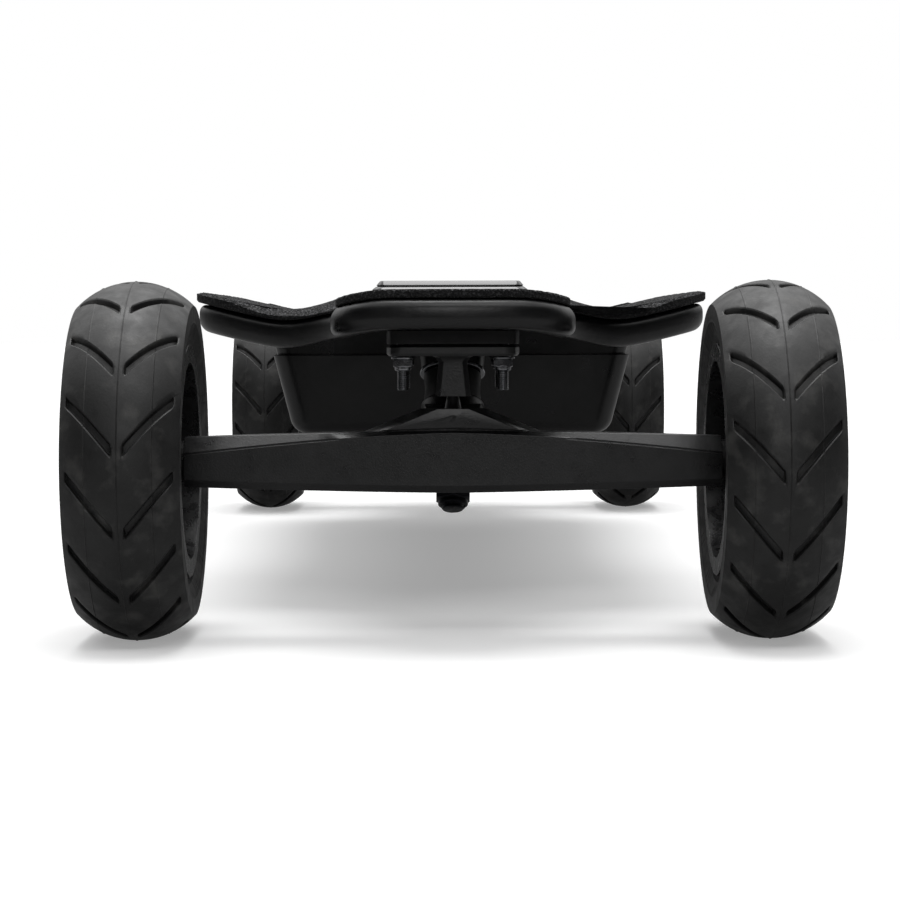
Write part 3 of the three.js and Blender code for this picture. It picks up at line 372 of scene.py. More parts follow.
class Slot(Enum):
    """The record's material slots, each with the finish that its pieces wear."""

    # Pressed carbon and glass under a satin lacquer: near black, with a soft highlight along each rounding
    CARBON = Finish(
        "satin_lacquered_composite", 0x070708, 0x0B0B0C, 0.04, 0.26, 0.38, 0.003, 0.00009, specular=0.42
    )
    # Moulded foam with an abraded face: matt black with a pale grit, drawn a little coarse so that it shows,
    # and painted brighter on upward faces as glints of the light from above
    FOAM = GritFoam("sanded_eva_foam", 0x0A0A0B, 0x131314, 0.02, 0.8, 1.0, 0.0009, 0.0012, specular=0.25)
    # Plastic from a polished mould under a clear coat: mirrors the room in a sharp, slightly wavy picture
    GLOSS = Finish("polished_abs", 0x060607, 0x0A0A0B, 0.04, 0.07, 0.14, 0.004, 0.00001, ior=1.54, coat=0.3)
    # Cast aluminium, blasted and powder coated: black with an even satin sheen and a fine orange peel
    CASTING = Finish("powder_coated_casting", 0x0B0B0C, 0x111112, 0.02, 0.27, 0.38, 0.0008, 0.00006)
    # Rolled and plated steel: a cool grey shine with bright edges
    STEEL = Finish(
        "zinc_plated_steel", 0x6C6D70, 0x97989B, 0.008, 0.14, 0.26, 0.0006, 0.00002, metallic=1.0
    )
    # Oiled black oxide on steel: dark, with a dull metallic gleam
    BLACK_STEEL = Finish(
        "black_oxide_steel", 0x1A1A1C, 0x2C2C2F, 0.008, 0.3, 0.45, 0.0006, 0.00002, metallic=1.0
    )
    # Tyre rubber from a polished mould: soft sheen on the crown, dusty patches that take it away
    RUBBER = MouldedRubber("moulded_rubber", 0x0B0B0B, 0x131313, 0.02, 0.42, 0.6, 0.0012, 0.00006)
    # Poured urethane: smooth, dull and quite dark
    URETHANE = Finish("cast_urethane", 0x060607, 0x0A0A0A, 0.012, 0.45, 0.6, 0.0015, 0.00003, specular=0.3)
    # Injected nylon with glass fibres: a semi-gloss skin that is faintly pebbled
    PLASTIC = Finish("glass_filled_nylon", 0x0B0B0C, 0x121213, 0.015, 0.22, 0.38, 0.0008, 0.00005, ior=1.53)
    # Heat-shrunk film over cells: clear blue, glossy, a little wrinkled
    WRAP = Finish("shrink_wrap", 0x163A66, 0x1F4F8A, 0.03, 0.25, 0.4, 0.005, 0.0002)
    # Enamelled wire in close turns: warm metal with a fine, uneven glint
    COPPER = Finish("enamelled_copper", 0x7A3C1C, 0x9A5428, 0.004, 0.25, 0.4, 0.0012, 0.0003, metallic=1.0)


class Paints:
    """The materials, each made once."""

    def __init__(self) -> None:
        """Makes one material for each slot, and looks up which slot each solid has."""
        self.made = {slot: slot.value.build() for slot in Slot}
        subparts = frame["record"]["subparts"]
        self.of_node = {row["node"]: Slot[row["material_slot"].upper()] for row in subparts}

    def coat(self, piece: Piece, slot: Slot) -> None:
        """Gives a piece its slot's material alone."""
        piece.data.materials.clear()
        piece.data.materials.append(self.made[slot])

    def dress(self, piece: Piece, node: str) -> Piece:
        """Dresses a piece as the node it stands for, makes it ride with that node's body and hides the node.

        Args:
            piece: The finished piece.
            node: The solid whose body, slot and place it takes.

        Returns:
            The piece.
        """
        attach(piece, body_of(node))
        return self.dress_only(piece, node)

    def dress_only(self, piece: Piece, node: str) -> Piece:
        """Dresses a piece in its node's slot and hides the node, but does not attach it to the node's body.

        Args:
            piece: The finished piece.
            node: The solid whose slot and place it takes.

        Returns:
            The piece.
        """
        slot = self.of_node[node]
        self.coat(piece, slot)
        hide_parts(node)
        log.info("%s stands for %s, %d faces", piece.name, node, len(piece.data.polygons))
        return piece


def body_of(node: str) -> str:
    """The body that a solid belongs to."""
    bodies = frame["record"]["behaviour"]["bodies"]
    return next(body for body, members in bodies.items() if node in members)


# Modelling by hand, in code


def deselect() -> None:
    """Leaves nothing selected."""
    for thing in bpy.context.selected_objects:
        thing.select_set(False)


def take_up(piece: Piece) -> None:
    """Makes a piece the only one selected, and the active one.

    Args:
        piece: The piece.
    """
    deselect()
    piece.select_set(True)
    bpy.context.view_layer.objects.active = piece


def weld(piece: Piece) -> None:
    """Merges doubles, closes what lies flat together and turns all faces outwards.

    Args:
        piece: The piece.
    """
    take_up(piece)
    bpy.ops.object.mode_set(mode="EDIT")
    bpy.ops.mesh.select_all(action="SELECT")
    bpy.ops.mesh.remove_doubles(threshold=WELD)
    bpy.ops.mesh.dissolve_degenerate(threshold=WELD)
    bpy.ops.mesh.select_all(action="SELECT")
    bpy.ops.mesh.normals_make_consistent(inside=False)
    bpy.ops.object.mode_set(mode="OBJECT")


def shade(piece: Piece, angle: float = SHARP_ANGLE) -> None:
    """Shades a piece smooth, but for edges sharper than the angle."""
    take_up(piece)
    bpy.ops.object.shade_smooth_by_angle(angle=angle)


def round_edges(piece: Piece, width: float) -> None:
    """Rounds a piece's sharp edges and keeps its flat faces shaded flat.

    Args:
        piece: The piece.
        width: How far the rounding reaches from the edge.
    """
    take_up(piece)
    bevel = piece.modifiers.new("rounding", "BEVEL")
    bevel.width = width
    bevel.segments = ROUNDING_SEGMENTS
    bevel.limit_method = "ANGLE"
    bevel.angle_limit = SHARP_ANGLE
    bevel.miter_outer = "MITER_ARC"
    bpy.ops.object.modifier_apply(modifier=bevel.name)
    shade(piece)
    weighted = piece.modifiers.new("flat_faces", "WEIGHTED_NORMAL")
    weighted.keep_sharp = True
    bpy.ops.object.modifier_apply(modifier=weighted.name)


def merged_copy(node: str, name: str) -> Piece:
    """A copy of a solid's mesh as one clean piece.

    Args:
        node: The solid.
        name: The new piece's name.

    Returns:
        The copy, merged, with its flat areas as single faces.
    """
    take_up(frame["nodes"][node])
    bpy.ops.object.duplicate()
    piece = bpy.context.active_object
    piece.parent = None
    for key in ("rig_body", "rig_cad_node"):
        del piece[key]
    piece.name = name
    bpy.ops.object.mode_set(mode="EDIT")
    bpy.ops.mesh.select_all(action="SELECT")
    bpy.ops.mesh.remove_doubles(threshold=WELD)
    bpy.ops.mesh.dissolve_limited(angle_limit=FLAT_ANGLE)
    bpy.ops.object.mode_set(mode="OBJECT")
    return piece


def laid_grid(name: str, columns: int, rows: int, place: Callable[[int, int], Vector]) -> Piece:
    """A grid whose every point is laid in its place.

    Args:
        name: The piece's name.
        columns: Faces across.
        rows: Faces along.
        place: Gives a point's place from its column and row.

    Returns:
        The open sheet.
    """
    deselect()
    half = 1.0
    bpy.ops.mesh.primitive_grid_add(x_subdivisions=columns, y_subdivisions=rows, size=2 * half)
    piece = bpy.context.active_object
    piece.name = name
    for vertex in piece.data.vertices:
        column = round((vertex.co.x + half) / (2 * half) * columns)
        row = round((vertex.co.y + half) / (2 * half) * rows)
        vertex.co = place(column, row)
    return piece


def fill_holes(piece: Piece) -> None:
    """Closes every open end of a piece and turns its faces outwards.

    Args:
        piece: The piece.
    """
    take_up(piece)
    bpy.ops.object.mode_set(mode="EDIT")
    bpy.ops.mesh.select_all(action="SELECT")
    bpy.ops.mesh.fill_holes(sides=0)
    bpy.ops.mesh.select_all(action="SELECT")
    bpy.ops.mesh.normals_make_consistent(inside=False)
    bpy.ops.object.mode_set(mode="OBJECT")


def loft(name: str, rings: list[list[Vector]]) -> Piece:
    """A closed solid through rings of equally many points.

    Args:
        name: The piece's name.
        rings: The rings in order, each a list of points round it.

    Returns:
        The solid, with both ends filled.
    """
    count = len(rings[0])
    piece = laid_grid(name, count, len(rings) - 1, lambda column, row: rings[row][column % count])
    weld(piece)
    fill_holes(piece)
    return piece


def turned(name: str, profile: list[tuple[float, float]], segments: int = ROUND_MIDDLE) -> Piece:
    """A solid of revolution about Z.

    Args:
        name: The piece's name.
        profile: Pairs of a radius and a height, from axis to axis, or round and back to the first.
        segments: Faces round the axis.

    Returns:
        The solid.
    """

    def place(column: int, row: int) -> Vector:
        """A point of the profile, turned to its column.

        Args:
            column: Which step round the axis.
            row: Which point of the profile.

        Returns:
            The point's place.
        """
        radius, height = profile[row]
        angle = FULL_TURN * column / segments
        return Vector((radius * math.cos(angle), radius * math.sin(angle), height))

    piece = laid_grid(name, segments, len(profile) - 1, place)
    weld(piece)
    return piece


def rod(radius: float, low: float, high: float, segments: int = ROUND_MIDDLE) -> Piece:
    """A plain cylinder about Z.

    Args:
        radius: Its radius.
        low: The height of its lower end.
        high: The height of its upper end.
        segments: Faces round the axis.

    Returns:
        The cylinder.
    """
    return turned("rod", [(0.0, low), (radius, low), (radius, high), (0.0, high)], segments)


def filleted(corners: list[tuple[float, float, float]], steps: int = 4) -> list[tuple[float, float]]:
    """A section with rounded corners.

    Args:
        corners: Each corner's two coordinates and how far its rounding reaches.
        steps: Faces in each rounding.

    Returns:
        The points along the section.
    """
    line: list[tuple[float, float]] = []
    for index, (u, v, reach) in enumerate(corners):
        here = Vector((u, v))
        if not reach or index in (0, len(corners) - 1):
            line.append((u, v))
            continue
        before = here + (Vector(corners[index - 1][:2]) - here).normalized() * reach
        after = here + (Vector(corners[index + 1][:2]) - here).normalized() * reach
        for step in range(steps + 1):
            share = step / steps
            spot = before.lerp(here, share).lerp(here.lerp(after, share), share)
            line.append((spot.x, spot.y))
    return line


def combine(piece: Piece, other: Piece, operation: str) -> None:
    """Adds another solid to a piece or cuts it out.

    Args:
        piece: The piece that changes.
        other: The other solid, which is used up.
        operation: UNION or DIFFERENCE.
    """
    take_up(piece)
    modifier = piece.modifiers.new("combine", "BOOLEAN")
    modifier.operation = operation
    modifier.solver = "EXACT"
    modifier.object = other
    bpy.ops.object.modifier_apply(modifier=modifier.name)
    bpy.data.objects.remove(other)


def join(pieces: list[Piece], name: str) -> Piece:
    """Makes one object of several.

    Args:
        pieces: The pieces.
        name: The name of the result.

    Returns:
        The joined piece.
    """
    deselect()
    for piece in pieces:
        piece.select_set(True)
    bpy.context.view_layer.objects.active = pieces[0]
    bpy.ops.object.join()
    pieces[0].name = name
    return pieces[0]


def set_in(piece: Piece, matrix: Matrix) -> Piece:
    """Carries a piece's mesh to its place and leaves the object at the origin.

    Args:
        piece: The piece.
        matrix: The way to its place.

    Returns:
        The piece.
    """
    piece.data.transform(matrix)
    piece.data.update()
    return piece


def mix(low: float, high: float, share: float) -> float:
    """The value at a share of the way from low to high."""
    return low + (high - low) * share


def smooth_step(low: float, high: float, value: float) -> float:
    """A smooth rise from 0 at low to 1 at high, or the other way round where low is the larger."""
    share = min(1.0, max(0.0, (value - low) / (high - low)))
    return share * share * (3 - 2 * share)


def cubic(points: list[Vector], share: float) -> Vector:
    """The point at a share of a cubic curve.

    Args:
        points: The curve's two ends and the two handles between them, in order.
        share: How far along it, from 0 to 1.

    Returns:
        The point.
    """
    rest = 1 - share
    weights = (rest**3, 3 * rest**2 * share, 3 * rest * share**2, share**3)
    return sum((point * weight for point, weight in zip(points, weights)), Vector((0, 0)))


# The deck's form


@dataclass(frozen=True)
class DeckForm:
    """The sizes and the surface of the moulded deck, which the foam, the lid and the tub follow.

    Across the board it has a flat middle, the plateau, then two valleys and two wings that rise. The nose and
    the tail are narrow, and their crown rolls off to both sides. The waist is drawn in a little halfway along.
    """

    length: float = 0.970
    width: float = 0.239
    thickness: float = 0.0127
    clearance: float = 0.1296
    camber_rise: float = 0.002
    camber_reach: float = 0.370
    plateau_half: float = 0.043
    valley_depth: float = 0.008
    valley_station: float = 0.077
    wing_slope: float = 0.25
    wing_blend: float = 0.010
    waist_drop: float = 0.0034
    waist_half: float = 0.076
    waist_blend: float = 0.060
    concave_start: float = 0.470
    concave_full: float = 0.330
    nose_half: float = 0.050
    nose_corner: float = 0.026
    nose_bow: float = 0.005
    neck_end: float = 0.352
    wing_lead: float = 0.307
    wing_sweep: float = 0.010
    wing_corner: float = 0.020
    fillet_reach: float = 0.030
    waist_inset: float = 0.011
    nose_flat_share: float = 0.62
    neck_ease_share: float = 0.8
    lead_ease_share: float = 0.7
    tip_ease_share: float = 0.5
    crown_drop: float = 0.004
    crown_flat: float = 0.024
    crown_start: float = 0.290
    crown_full: float = 0.350
    crown_end: float = 0.080
    tip_thinning: float = 0.0006
    nudge_share: float = 0.01

    def camber(self, y: float) -> float:
        """How far the middle of the board arches up.

        Args:
            y: The place along the board.

        Returns:
            The rise.
        """
        if abs(y) >= self.camber_reach:
            return 0.0
        return self.camber_rise * (1 + math.cos(HALF_TURN * y / self.camber_reach)) / 2

    def concave(self, x: float, y: float) -> float:
        """How far the surface stands over or under the flat middle.

        Args:
            x: The place across the board.
            y: The place along it.

        Returns:
            The rise, which is under zero in the valleys.
        """
        out = abs(x)
        strength = 1 - smooth_step(self.concave_full, self.concave_start, abs(y))
        if out <= self.valley_station:
            share = max(0.0, (out - self.plateau_half) / (self.valley_station - self.plateau_half))
            return -strength * self.valley_depth * (1 - math.cos(HALF_TURN * share)) / 2
        reach = out - self.valley_station
        rise = self.wing_slope * (math.hypot(reach, self.wing_blend) - self.wing_blend)
        low = 1 - smooth_step(self.waist_half - self.waist_blend, self.waist_half, abs(y))
        return strength * (rise * (1 - low * self.waist_drop / self.valley_depth) - self.valley_depth)

    def crown(self, x: float, y: float) -> float:
        """How far the nose and the tail roll off to both sides of their flat middle.

        Args:
            x: The place across the board.
            y: The place along it.

        Returns:
            The rise, which is zero or less.
        """
        out = abs(x)
        strength = smooth_step(self.crown_start, self.crown_full, abs(y))
        share = max(0.0, out - self.crown_flat) / (self.nose_half - self.crown_flat)
        fade = 1 - smooth_step(self.nose_half, self.crown_end, out)
        return -strength * self.crown_drop * min(1.0, share) ** 2 * fade

    def top(self, x: float, y: float) -> float:
        """The height of the deck's upper face, a little lower where the tips are pressed thinner."""
        share = smooth_step(self.crown_start, self.crown_full, abs(y))
        return self.under(x, y) + (self.thickness - self.tip_thinning * share)

    def under(self, x: float, y: float) -> float:
        """The height of the deck's lower face."""
        return self.clearance + self.camber(y) + self.concave(x, y) + self.crown(x, y)

    def curves(self) -> list[list[Vector]]:
        """The right-hand edge of the front half, from the nose to the waist.

        Returns:
            Cubic curves, end to end: nose, side of the nose, neck, wing's lead, wing's tip and side.
        """
        tip = -self.length / 2
        side = self.width / 2
        nose = Vector((0, tip))
        corner = Vector((self.nose_half, tip + self.nose_bow + self.nose_corner))
        neck = Vector((self.nose_half, -self.neck_end))
        fillet = Vector((self.nose_half + self.fillet_reach, -self.wing_lead - self.wing_sweep / 2))
        lead = Vector((side - self.wing_corner, -self.wing_lead + self.wing_sweep / 2))
        wing = Vector((side, -self.wing_lead + self.wing_sweep + self.wing_corner))
        waist = Vector((side - self.waist_inset, 0))
        sweep = (lead - fillet).normalized()
        ease = self.fillet_reach
        return [
            [nose, Vector((self.nose_half * self.nose_flat_share, tip)),
             Vector((self.nose_half, tip + self.nose_bow)), corner],
            [corner, corner.lerp(neck, THIRD), corner.lerp(neck, 2 * THIRD), neck],
            [neck, Vector((self.nose_half, neck.y + ease * self.neck_ease_share)),
             fillet - sweep * ease * self.lead_ease_share, fillet],
            [fillet, fillet.lerp(lead, THIRD), fillet.lerp(lead, 2 * THIRD), lead],
            [lead, lead + sweep * self.wing_corner * self.lead_ease_share,
             Vector((side, wing.y - self.wing_corner * self.tip_ease_share)), wing],
            [wing, Vector((side, -self.waist_half * 2)), Vector((waist.x, -self.waist_half)), waist],
        ]

    def edge(self, steps: tuple[int, ...]) -> list[tuple[Vector, Vector]]:
        """Stations along the right-hand edge from nose to tail.

        Args:
            steps: How many steps each curve takes.

        Returns:
            Pairs of a point and the direction in from it.
        """
        front = []
        for order, (curve, count) in enumerate(zip(self.curves(), steps)):
            for i in range(1 if order else 0, count + 1):
                share = i / count
                before = cubic(curve, max(0.0, share - self.nudge_share))
                after = cubic(curve, min(1.0, share + self.nudge_share))
                along = (after - before).normalized()
                front.append((cubic(curve, share), Vector((-along.y, along.x))))
        front[0] = (front[0][0], Vector((0, 1)))
        front[-1] = (front[-1][0], Vector((-1, 0)))
        rear = [(Vector((p.x, -p.y)), Vector((n.x, -n.y))) for p, n in reversed(front[:-1])]
        return front + rear


@dataclass(frozen=True)
class Slab:
    """A closed sheet between a floor and a roof surface, with rounded edges."""

    inset: Callable[[Vector], float]
    upper_round: Callable[[Vector], tuple[float, float]]
    lower_round: Callable[[Vector], tuple[float, float]]
    floor: Callable[[float, float], float]
    roof: Callable[[float, float], float]
    bow: Callable[[Vector], float] = lambda point: 1.0
    rim_steps: int = 7
    columns: int = 26
    roughness: float = 0.0

    def line(
        self, point: Vector, inward: Vector, rounding: tuple[float, float]
    ) -> list[tuple[float, float, float]]:
        """The points across the board at a station.

        Args:
            point: The station on the right-hand edge.
            inward: The direction in from it.
            rounding: How far in and how far down the edge's rounding reaches.

        Returns:
            The points as x, y and how far the rounding draws the face in there.
        """
        line = []
        run, drop = rounding
        bow = self.bow(point)
        for i in range(self.rim_steps + 1):
            share = i / self.rim_steps
            angle = share * QUARTER_TURN
            spot = point + inward * (self.inset(point) + run * mix(share, 1 - math.cos(angle), bow))
            line.append((max(0.0, spot.x), spot.y, drop * mix(1 - share, 1 - math.sin(angle), bow)))
        core_x, core_y, _ = line[-1]
        for i in range(1, self.columns + 1):
            line.append((core_x * (1 - i / self.columns), core_y, 0.0))
        return [*line, *((-x, y, drop) for x, y, drop in reversed(line[:-1]))]

    def build(self, name: str, stations: list[tuple[Vector, Vector]]) -> Piece:
        """Lays the slab along its stations.

        Args:
            name: The piece's name.
            stations: Points on the right-hand edge and the directions in from them.

        Returns:
            The slab as one closed piece.
        """
        upper = [self.line(point, inward, self.upper_round(point)) for point, inward in stations]
        lower = [self.line(point, inward, self.lower_round(point)) for point, inward in stations]
        across = len(upper[0])

        def place(column: int, row: int) -> Vector:
            """A point of the skin, first over the upper face and then back under it.

            Args:
                column: Which step round the skin.
                row: Which station along the board.

            Returns:
                The point's place.
            """
            turn = column % (2 * across)
            if turn < across:
                x, y, drop = upper[row][turn]
                grit = random.uniform(-self.roughness, self.roughness) if column else 0.0
                return Vector((x, y, self.roof(x, y) - drop + grit))
            x, y, drop = lower[row][2 * across - 1 - turn]
            return Vector((x, y, self.floor(x, y) + drop))

        piece = laid_grid(name, 2 * across, len(stations) - 1, place)
        weld(piece)
        fill_holes(piece)
        shade(piece)
        return piece


@dataclass(frozen=True)
class Deck:
    """The moulded shell and its two foam grips.

    A rounding is how far in and how far down it reaches. The foam's lead is the slope before a wing.
    """

    form: DeckForm = DeckForm()
    grip_thickness: float = 0.0039
    grip_inset: float = 0.0022
    grip_wing_inset: float = -0.0012
    grip_round: float = 0.0008
    wing_thickness: float = 0.0056
    wing_start: float = 0.055
    wing_full: float = 0.080
    lead_run: float = 0.013
    lead_drop: float = 0.0032
    tip_run: float = 0.003
    tip_drop: float = 0.0013
    tip_start: float = 0.086
    tip_full: float = 0.104
    upper_round: tuple[float, float] = (0.0040, 0.0048)
    lower_round: tuple[float, float] = (0.0048, 0.0052)
    grip_gap: float = 0.116
    seat: float = 0.0003
    grain_height: float = 0.00022
    shell_steps: tuple[int, ...] = (14, 10, 10, 4, 10, 40)
    grip_steps: tuple[int, ...] = (34, 54, 34, 22, 18, 150)
    grip_rim_steps: int = 8
    grip_columns: int = 56

    def build(self, paints: Paints) -> None:
        """Builds and dresses the shell and the grips.

        Args:
            paints: The materials.
        """
        shell = Slab(
            inset=lambda point: 0.0,
            upper_round=lambda point: self.upper_round,
            lower_round=lambda point: self.lower_round,
            floor=self.form.under,
            roof=self.form.top,
        )
        paints.dress(shell.build("deck_board", self.form.edge(self.shell_steps)), "deck_shell")
        for node, side in (("front_grip", -1), ("rear_grip", 1)):
            paints.dress(self.grip(f"{node}_foam", side), node)

    def grip_inset_at(self, point: Vector) -> float:
        """How far the pad stands in from the rim, which it laps over on the wings."""
        share = smooth_step(self.form.wing_lead, self.form.neck_end, abs(point.y))
        return mix(self.grip_wing_inset, self.grip_inset, share)

    def grip_top(self, x: float, y: float) -> float:
        """The height of the pad's face, which is thicker on the wings.

        Args:
            x: The place across the board.
            y: The place along it.

        Returns:
            The height, under the grain.
        """
        share = smooth_step(self.wing_start, self.wing_full, abs(x))
        thickness = mix(self.grip_thickness, self.wing_thickness, share)
        return self.form.top(x, y) + thickness - self.grain_height

    def grip_round_at(self, point: Vector) -> tuple[float, float]:
        """How the pad's upper edge falls: tightly at the nose, and as a long lead on the wings.

        Args:
            point: The station on the board's edge.

        Returns:
            How far in and how far down it reaches.
        """
        share = smooth_step(self.form.wing_lead, self.form.neck_end, abs(point.y))
        tip = smooth_step(self.tip_start, self.tip_full, abs(point.x))
        run = mix(self.lead_run, self.tip_run, tip)
        drop = mix(self.lead_drop, self.tip_drop, tip)
        return mix(run, self.grip_round, share), mix(drop, self.grip_round, share)

    def grip_bow(self, point: Vector) -> float:
        """Whether the pad's upper edge is a round, 1, or a straight lead, 0, as on the wings."""
        return smooth_step(self.form.wing_lead, self.form.neck_end, abs(point.y))

    def grip(self, name: str, side: int) -> Piece:
        """One foam pad, cut square across the middle of the board.

        Args:
            name: The piece's name.
            side: -1 for the front pad and 1 for the rear one.

        Returns:
            The pad, with its gritty face raised in the mesh.
        """
        stations = self.form.edge(self.grip_steps)
        kept = [(p, n) for p, n in stations if p.y * side > self.grip_gap]
        near = min(stations, key=lambda station: abs(station[0].y * side - self.grip_gap))
        cut = (Vector((near[0].x, side * self.grip_gap)), Vector((-1, 0)))
        line = [*kept, cut] if side < 0 else [cut, *kept]
        pad = Slab(
            inset=self.grip_inset_at,
            upper_round=self.grip_round_at,
            lower_round=lambda point: (self.grip_round, self.grip_round),
            floor=lambda x, y: self.form.top(x, y) + self.seat,
            roof=self.grip_top,
            bow=self.grip_bow,
            rim_steps=self.grip_rim_steps,
            columns=self.grip_columns,
            roughness=self.grain_height,
        )
        piece = pad.build(name, line)
        return piece


# Wheels


@dataclass(frozen=True)
class Tyre:
    """A treaded tyre: its sizes, and the slanting grooves that make arrows round it."""

    radius: float = 0.075
    width: float = 0.0476
    bore: float = 0.0456
    bead_half: float = 0.0200
    bead_radius: float = 0.0493
    shoulder_half: float = 0.0236
    shoulder_drop: float = 0.010
    bulge_drop: float = 0.015
    groove_count: int = 14
    groove_inner: float = 0.0021
    groove_outer: float = 0.0214
    groove_sweep: float = math.radians(17.7)
    groove_half: float = 0.00165
    groove_corner: float = 0.0009
    groove_depth: float = 0.0024
    lip: float = 0.0005
    lip_drop: float = 0.0004
    wall: float = 0.0005
    seam_half: float = 0.0002
    seam_rise: float = 0.00025
    seam_station: float = 0.0135
    plain_columns: int = 10
    corner: float = 0.0002
    side_steps: int = 7
    rim_rows: tuple[int, ...] = (3, 11)
    band_inner: float = 0.0535
    band_outer: float = 0.0575
    rib_rise: float = 0.0002
    end_shares: tuple[float, ...] = (0.0, 0.15, 0.5, 1.0)
    plain_rows: int = 12
    sharp_angle: float = math.radians(28)

    @property
    def crown_radius(self) -> float:
        """The radius of the tread's arc across the tyre."""
        return (self.shoulder_half**2 + self.shoulder_drop**2) / (2 * self.shoulder_drop)

    def tread_radius(self, x: float) -> float:
        """The radius of the plain tread at x from the middle."""
        return self.radius - self.crown_radius + math.sqrt(self.crown_radius**2 - x * x)

    @property
    def lean(self) -> float:
        """The cosine of a groove's slant, which turns a width across it into one along the tread."""
        slope = self.groove_sweep * self.radius / (self.groove_outer - self.groove_inner)
        return 1 / math.hypot(1, slope)

    def tread_stations(self) -> list[float]:
        """The rows across one half of the tread, closest where a groove ends or a seam stands.

        Returns:
            Their places from the middle out.
        """
        inner = self.groove_inner
        outer = self.groove_outer
        half = self.groove_corner
        rows = [0.0, self.seam_half, 2 * self.seam_half, inner - self.lip]
        rows += [inner + share * half for share in self.end_shares]
        rows += [outer - share * half for share in self.end_shares]
        rows += [outer + self.lip, self.shoulder_half]
        rows += [self.seam_station + self.seam_half * step for step in (-2, -1, 0, 1, 2)]
        rows += [mix(inner + half, outer - half, i / self.plain_rows) for i in range(1, self.plain_rows)]
        kept: list[float] = []
        for row in sorted(rows):
            if not kept or row - kept[-1] > self.seam_half / 2:
                kept.append(row)
        return kept

    def profile(self) -> list[tuple[float, float]]:
        """The section from one bead over the tread to the other.

        Returns:
            Pairs of a place across the tyre and a radius.
        """
        half = [(x, self.tread_radius(x)) for x in self.tread_stations()]
        right = [*half, *self.sidewall()]
        left = [(-x, radius) for x, radius in reversed(right[1:])]
        return [*left, *right]

    def sidewall(self) -> list[tuple[float, float]]:
        """One side from the shoulder to the bead's foot, with its raised rim lines.

        Returns:
            Pairs of a place across the tyre and a radius.
        """
        start = Vector((self.shoulder_half + self.corner, self.radius - self.shoulder_drop - self.corner))
        bulge = Vector((self.width / 2, self.radius - self.bulge_drop))
        bead = Vector((self.bead_half, self.bead_radius))
        rows = [(start.x, start.y)]
        for i in range(1, self.side_steps + 1):
            share = i / self.side_steps
            rows.append((mix(start.x, bulge.x, share), mix(start.y, bulge.y, share)))
        for i in range(1, 2 * self.side_steps + 1):
            share = i / (2 * self.side_steps)
            x = mix(bulge.x, bead.x, 1 - math.cos(share * QUARTER_TURN))
            line = self.seam_rise if i in self.rim_rows else 0.0
            rows.append((min(bulge.x, x + line), mix(bulge.y, bead.y, share)))
        rows.append((self.bead_half, self.bore))
        return rows

    def rib(self, x: float, radius: float, column: int) -> float:
        """How far the fine ribs of the sidewall's band stand out at a place."""
        inside = self.band_inner < radius < self.band_outer
        return self.rib_rise if inside and column % 2 else 0.0

    def columns(self) -> list[float]:
        """The columns over one pitch of the tread, closest at the groove's walls.

        Returns:
            Distances along the tread from a groove's middle.
        """
        half = self.groove_half
        lip, edge, foot = (width / self.lean for width in (half + self.lip, half, half - self.wall))
        pitch = FULL_TURN * self.radius / self.groove_count
        gaps = self.plain_columns + 1
        plain = [mix(lip, pitch - lip, i / gaps) for i in range(1, gaps)]
        return [-lip, -edge, -foot, 0.0, foot, edge, lip, *plain]

    def depth(self, x: float, off: float) -> float:
        """How deep the tread is cut.

        Args:
            x: The place from the tyre's middle.
            off: The distance along the tread from the groove's line.

        Returns:
            The depth, which is zero beside a groove and its lip.
        """
        out = abs(x)
        end = min(out - self.groove_inner, self.groove_outer - out)
        inside = min(self.half_at(end) - abs(off) * self.lean, end)
        if inside <= -self.lip:
            return 0.0
        if inside <= 0:
            return self.lip_drop * (1 + inside / self.lip)
        share = min(1.0, inside / self.wall)
        return mix(self.lip_drop, self.groove_depth, share)

    def half_at(self, end: float) -> float:
        """Half a groove's width at a distance from its end, where its corners are rounded."""
        reach = self.groove_corner - min(max(end, 0.0), self.groove_corner)
        return self.groove_half - self.groove_corner + math.sqrt(self.groove_corner**2 - reach**2)

    def pinch(self, x: float, off: float) -> float:
        """Draws the columns of a groove together where its ends are rounded.

        Args:
            x: The place from the tyre's middle.
            off: A column's distance from the groove's line.

        Returns:
            The column's new distance.
        """
        out = abs(x)
        end = min(out - self.groove_inner, self.groove_outer - out)
        if abs(off) * self.lean > self.groove_half + self.lip + WELD or end < 0:
            return off
        return off - math.copysign((self.groove_half - self.half_at(end)) / self.lean, off) if off else off

    def seam(self, x: float) -> float:
        """How far a mould seam stands over the tread at x."""
        off = min(abs(x), abs(abs(x) - self.seam_station))
        return self.seam_rise if off < self.seam_half / 2 else 0.0

    def slant(self, x: float) -> float:
        """How far the tread's columns have turned at x from the middle."""
        out = min(abs(x), self.shoulder_half) - self.groove_inner
        return self.groove_sweep * out / (self.groove_outer - self.groove_inner)

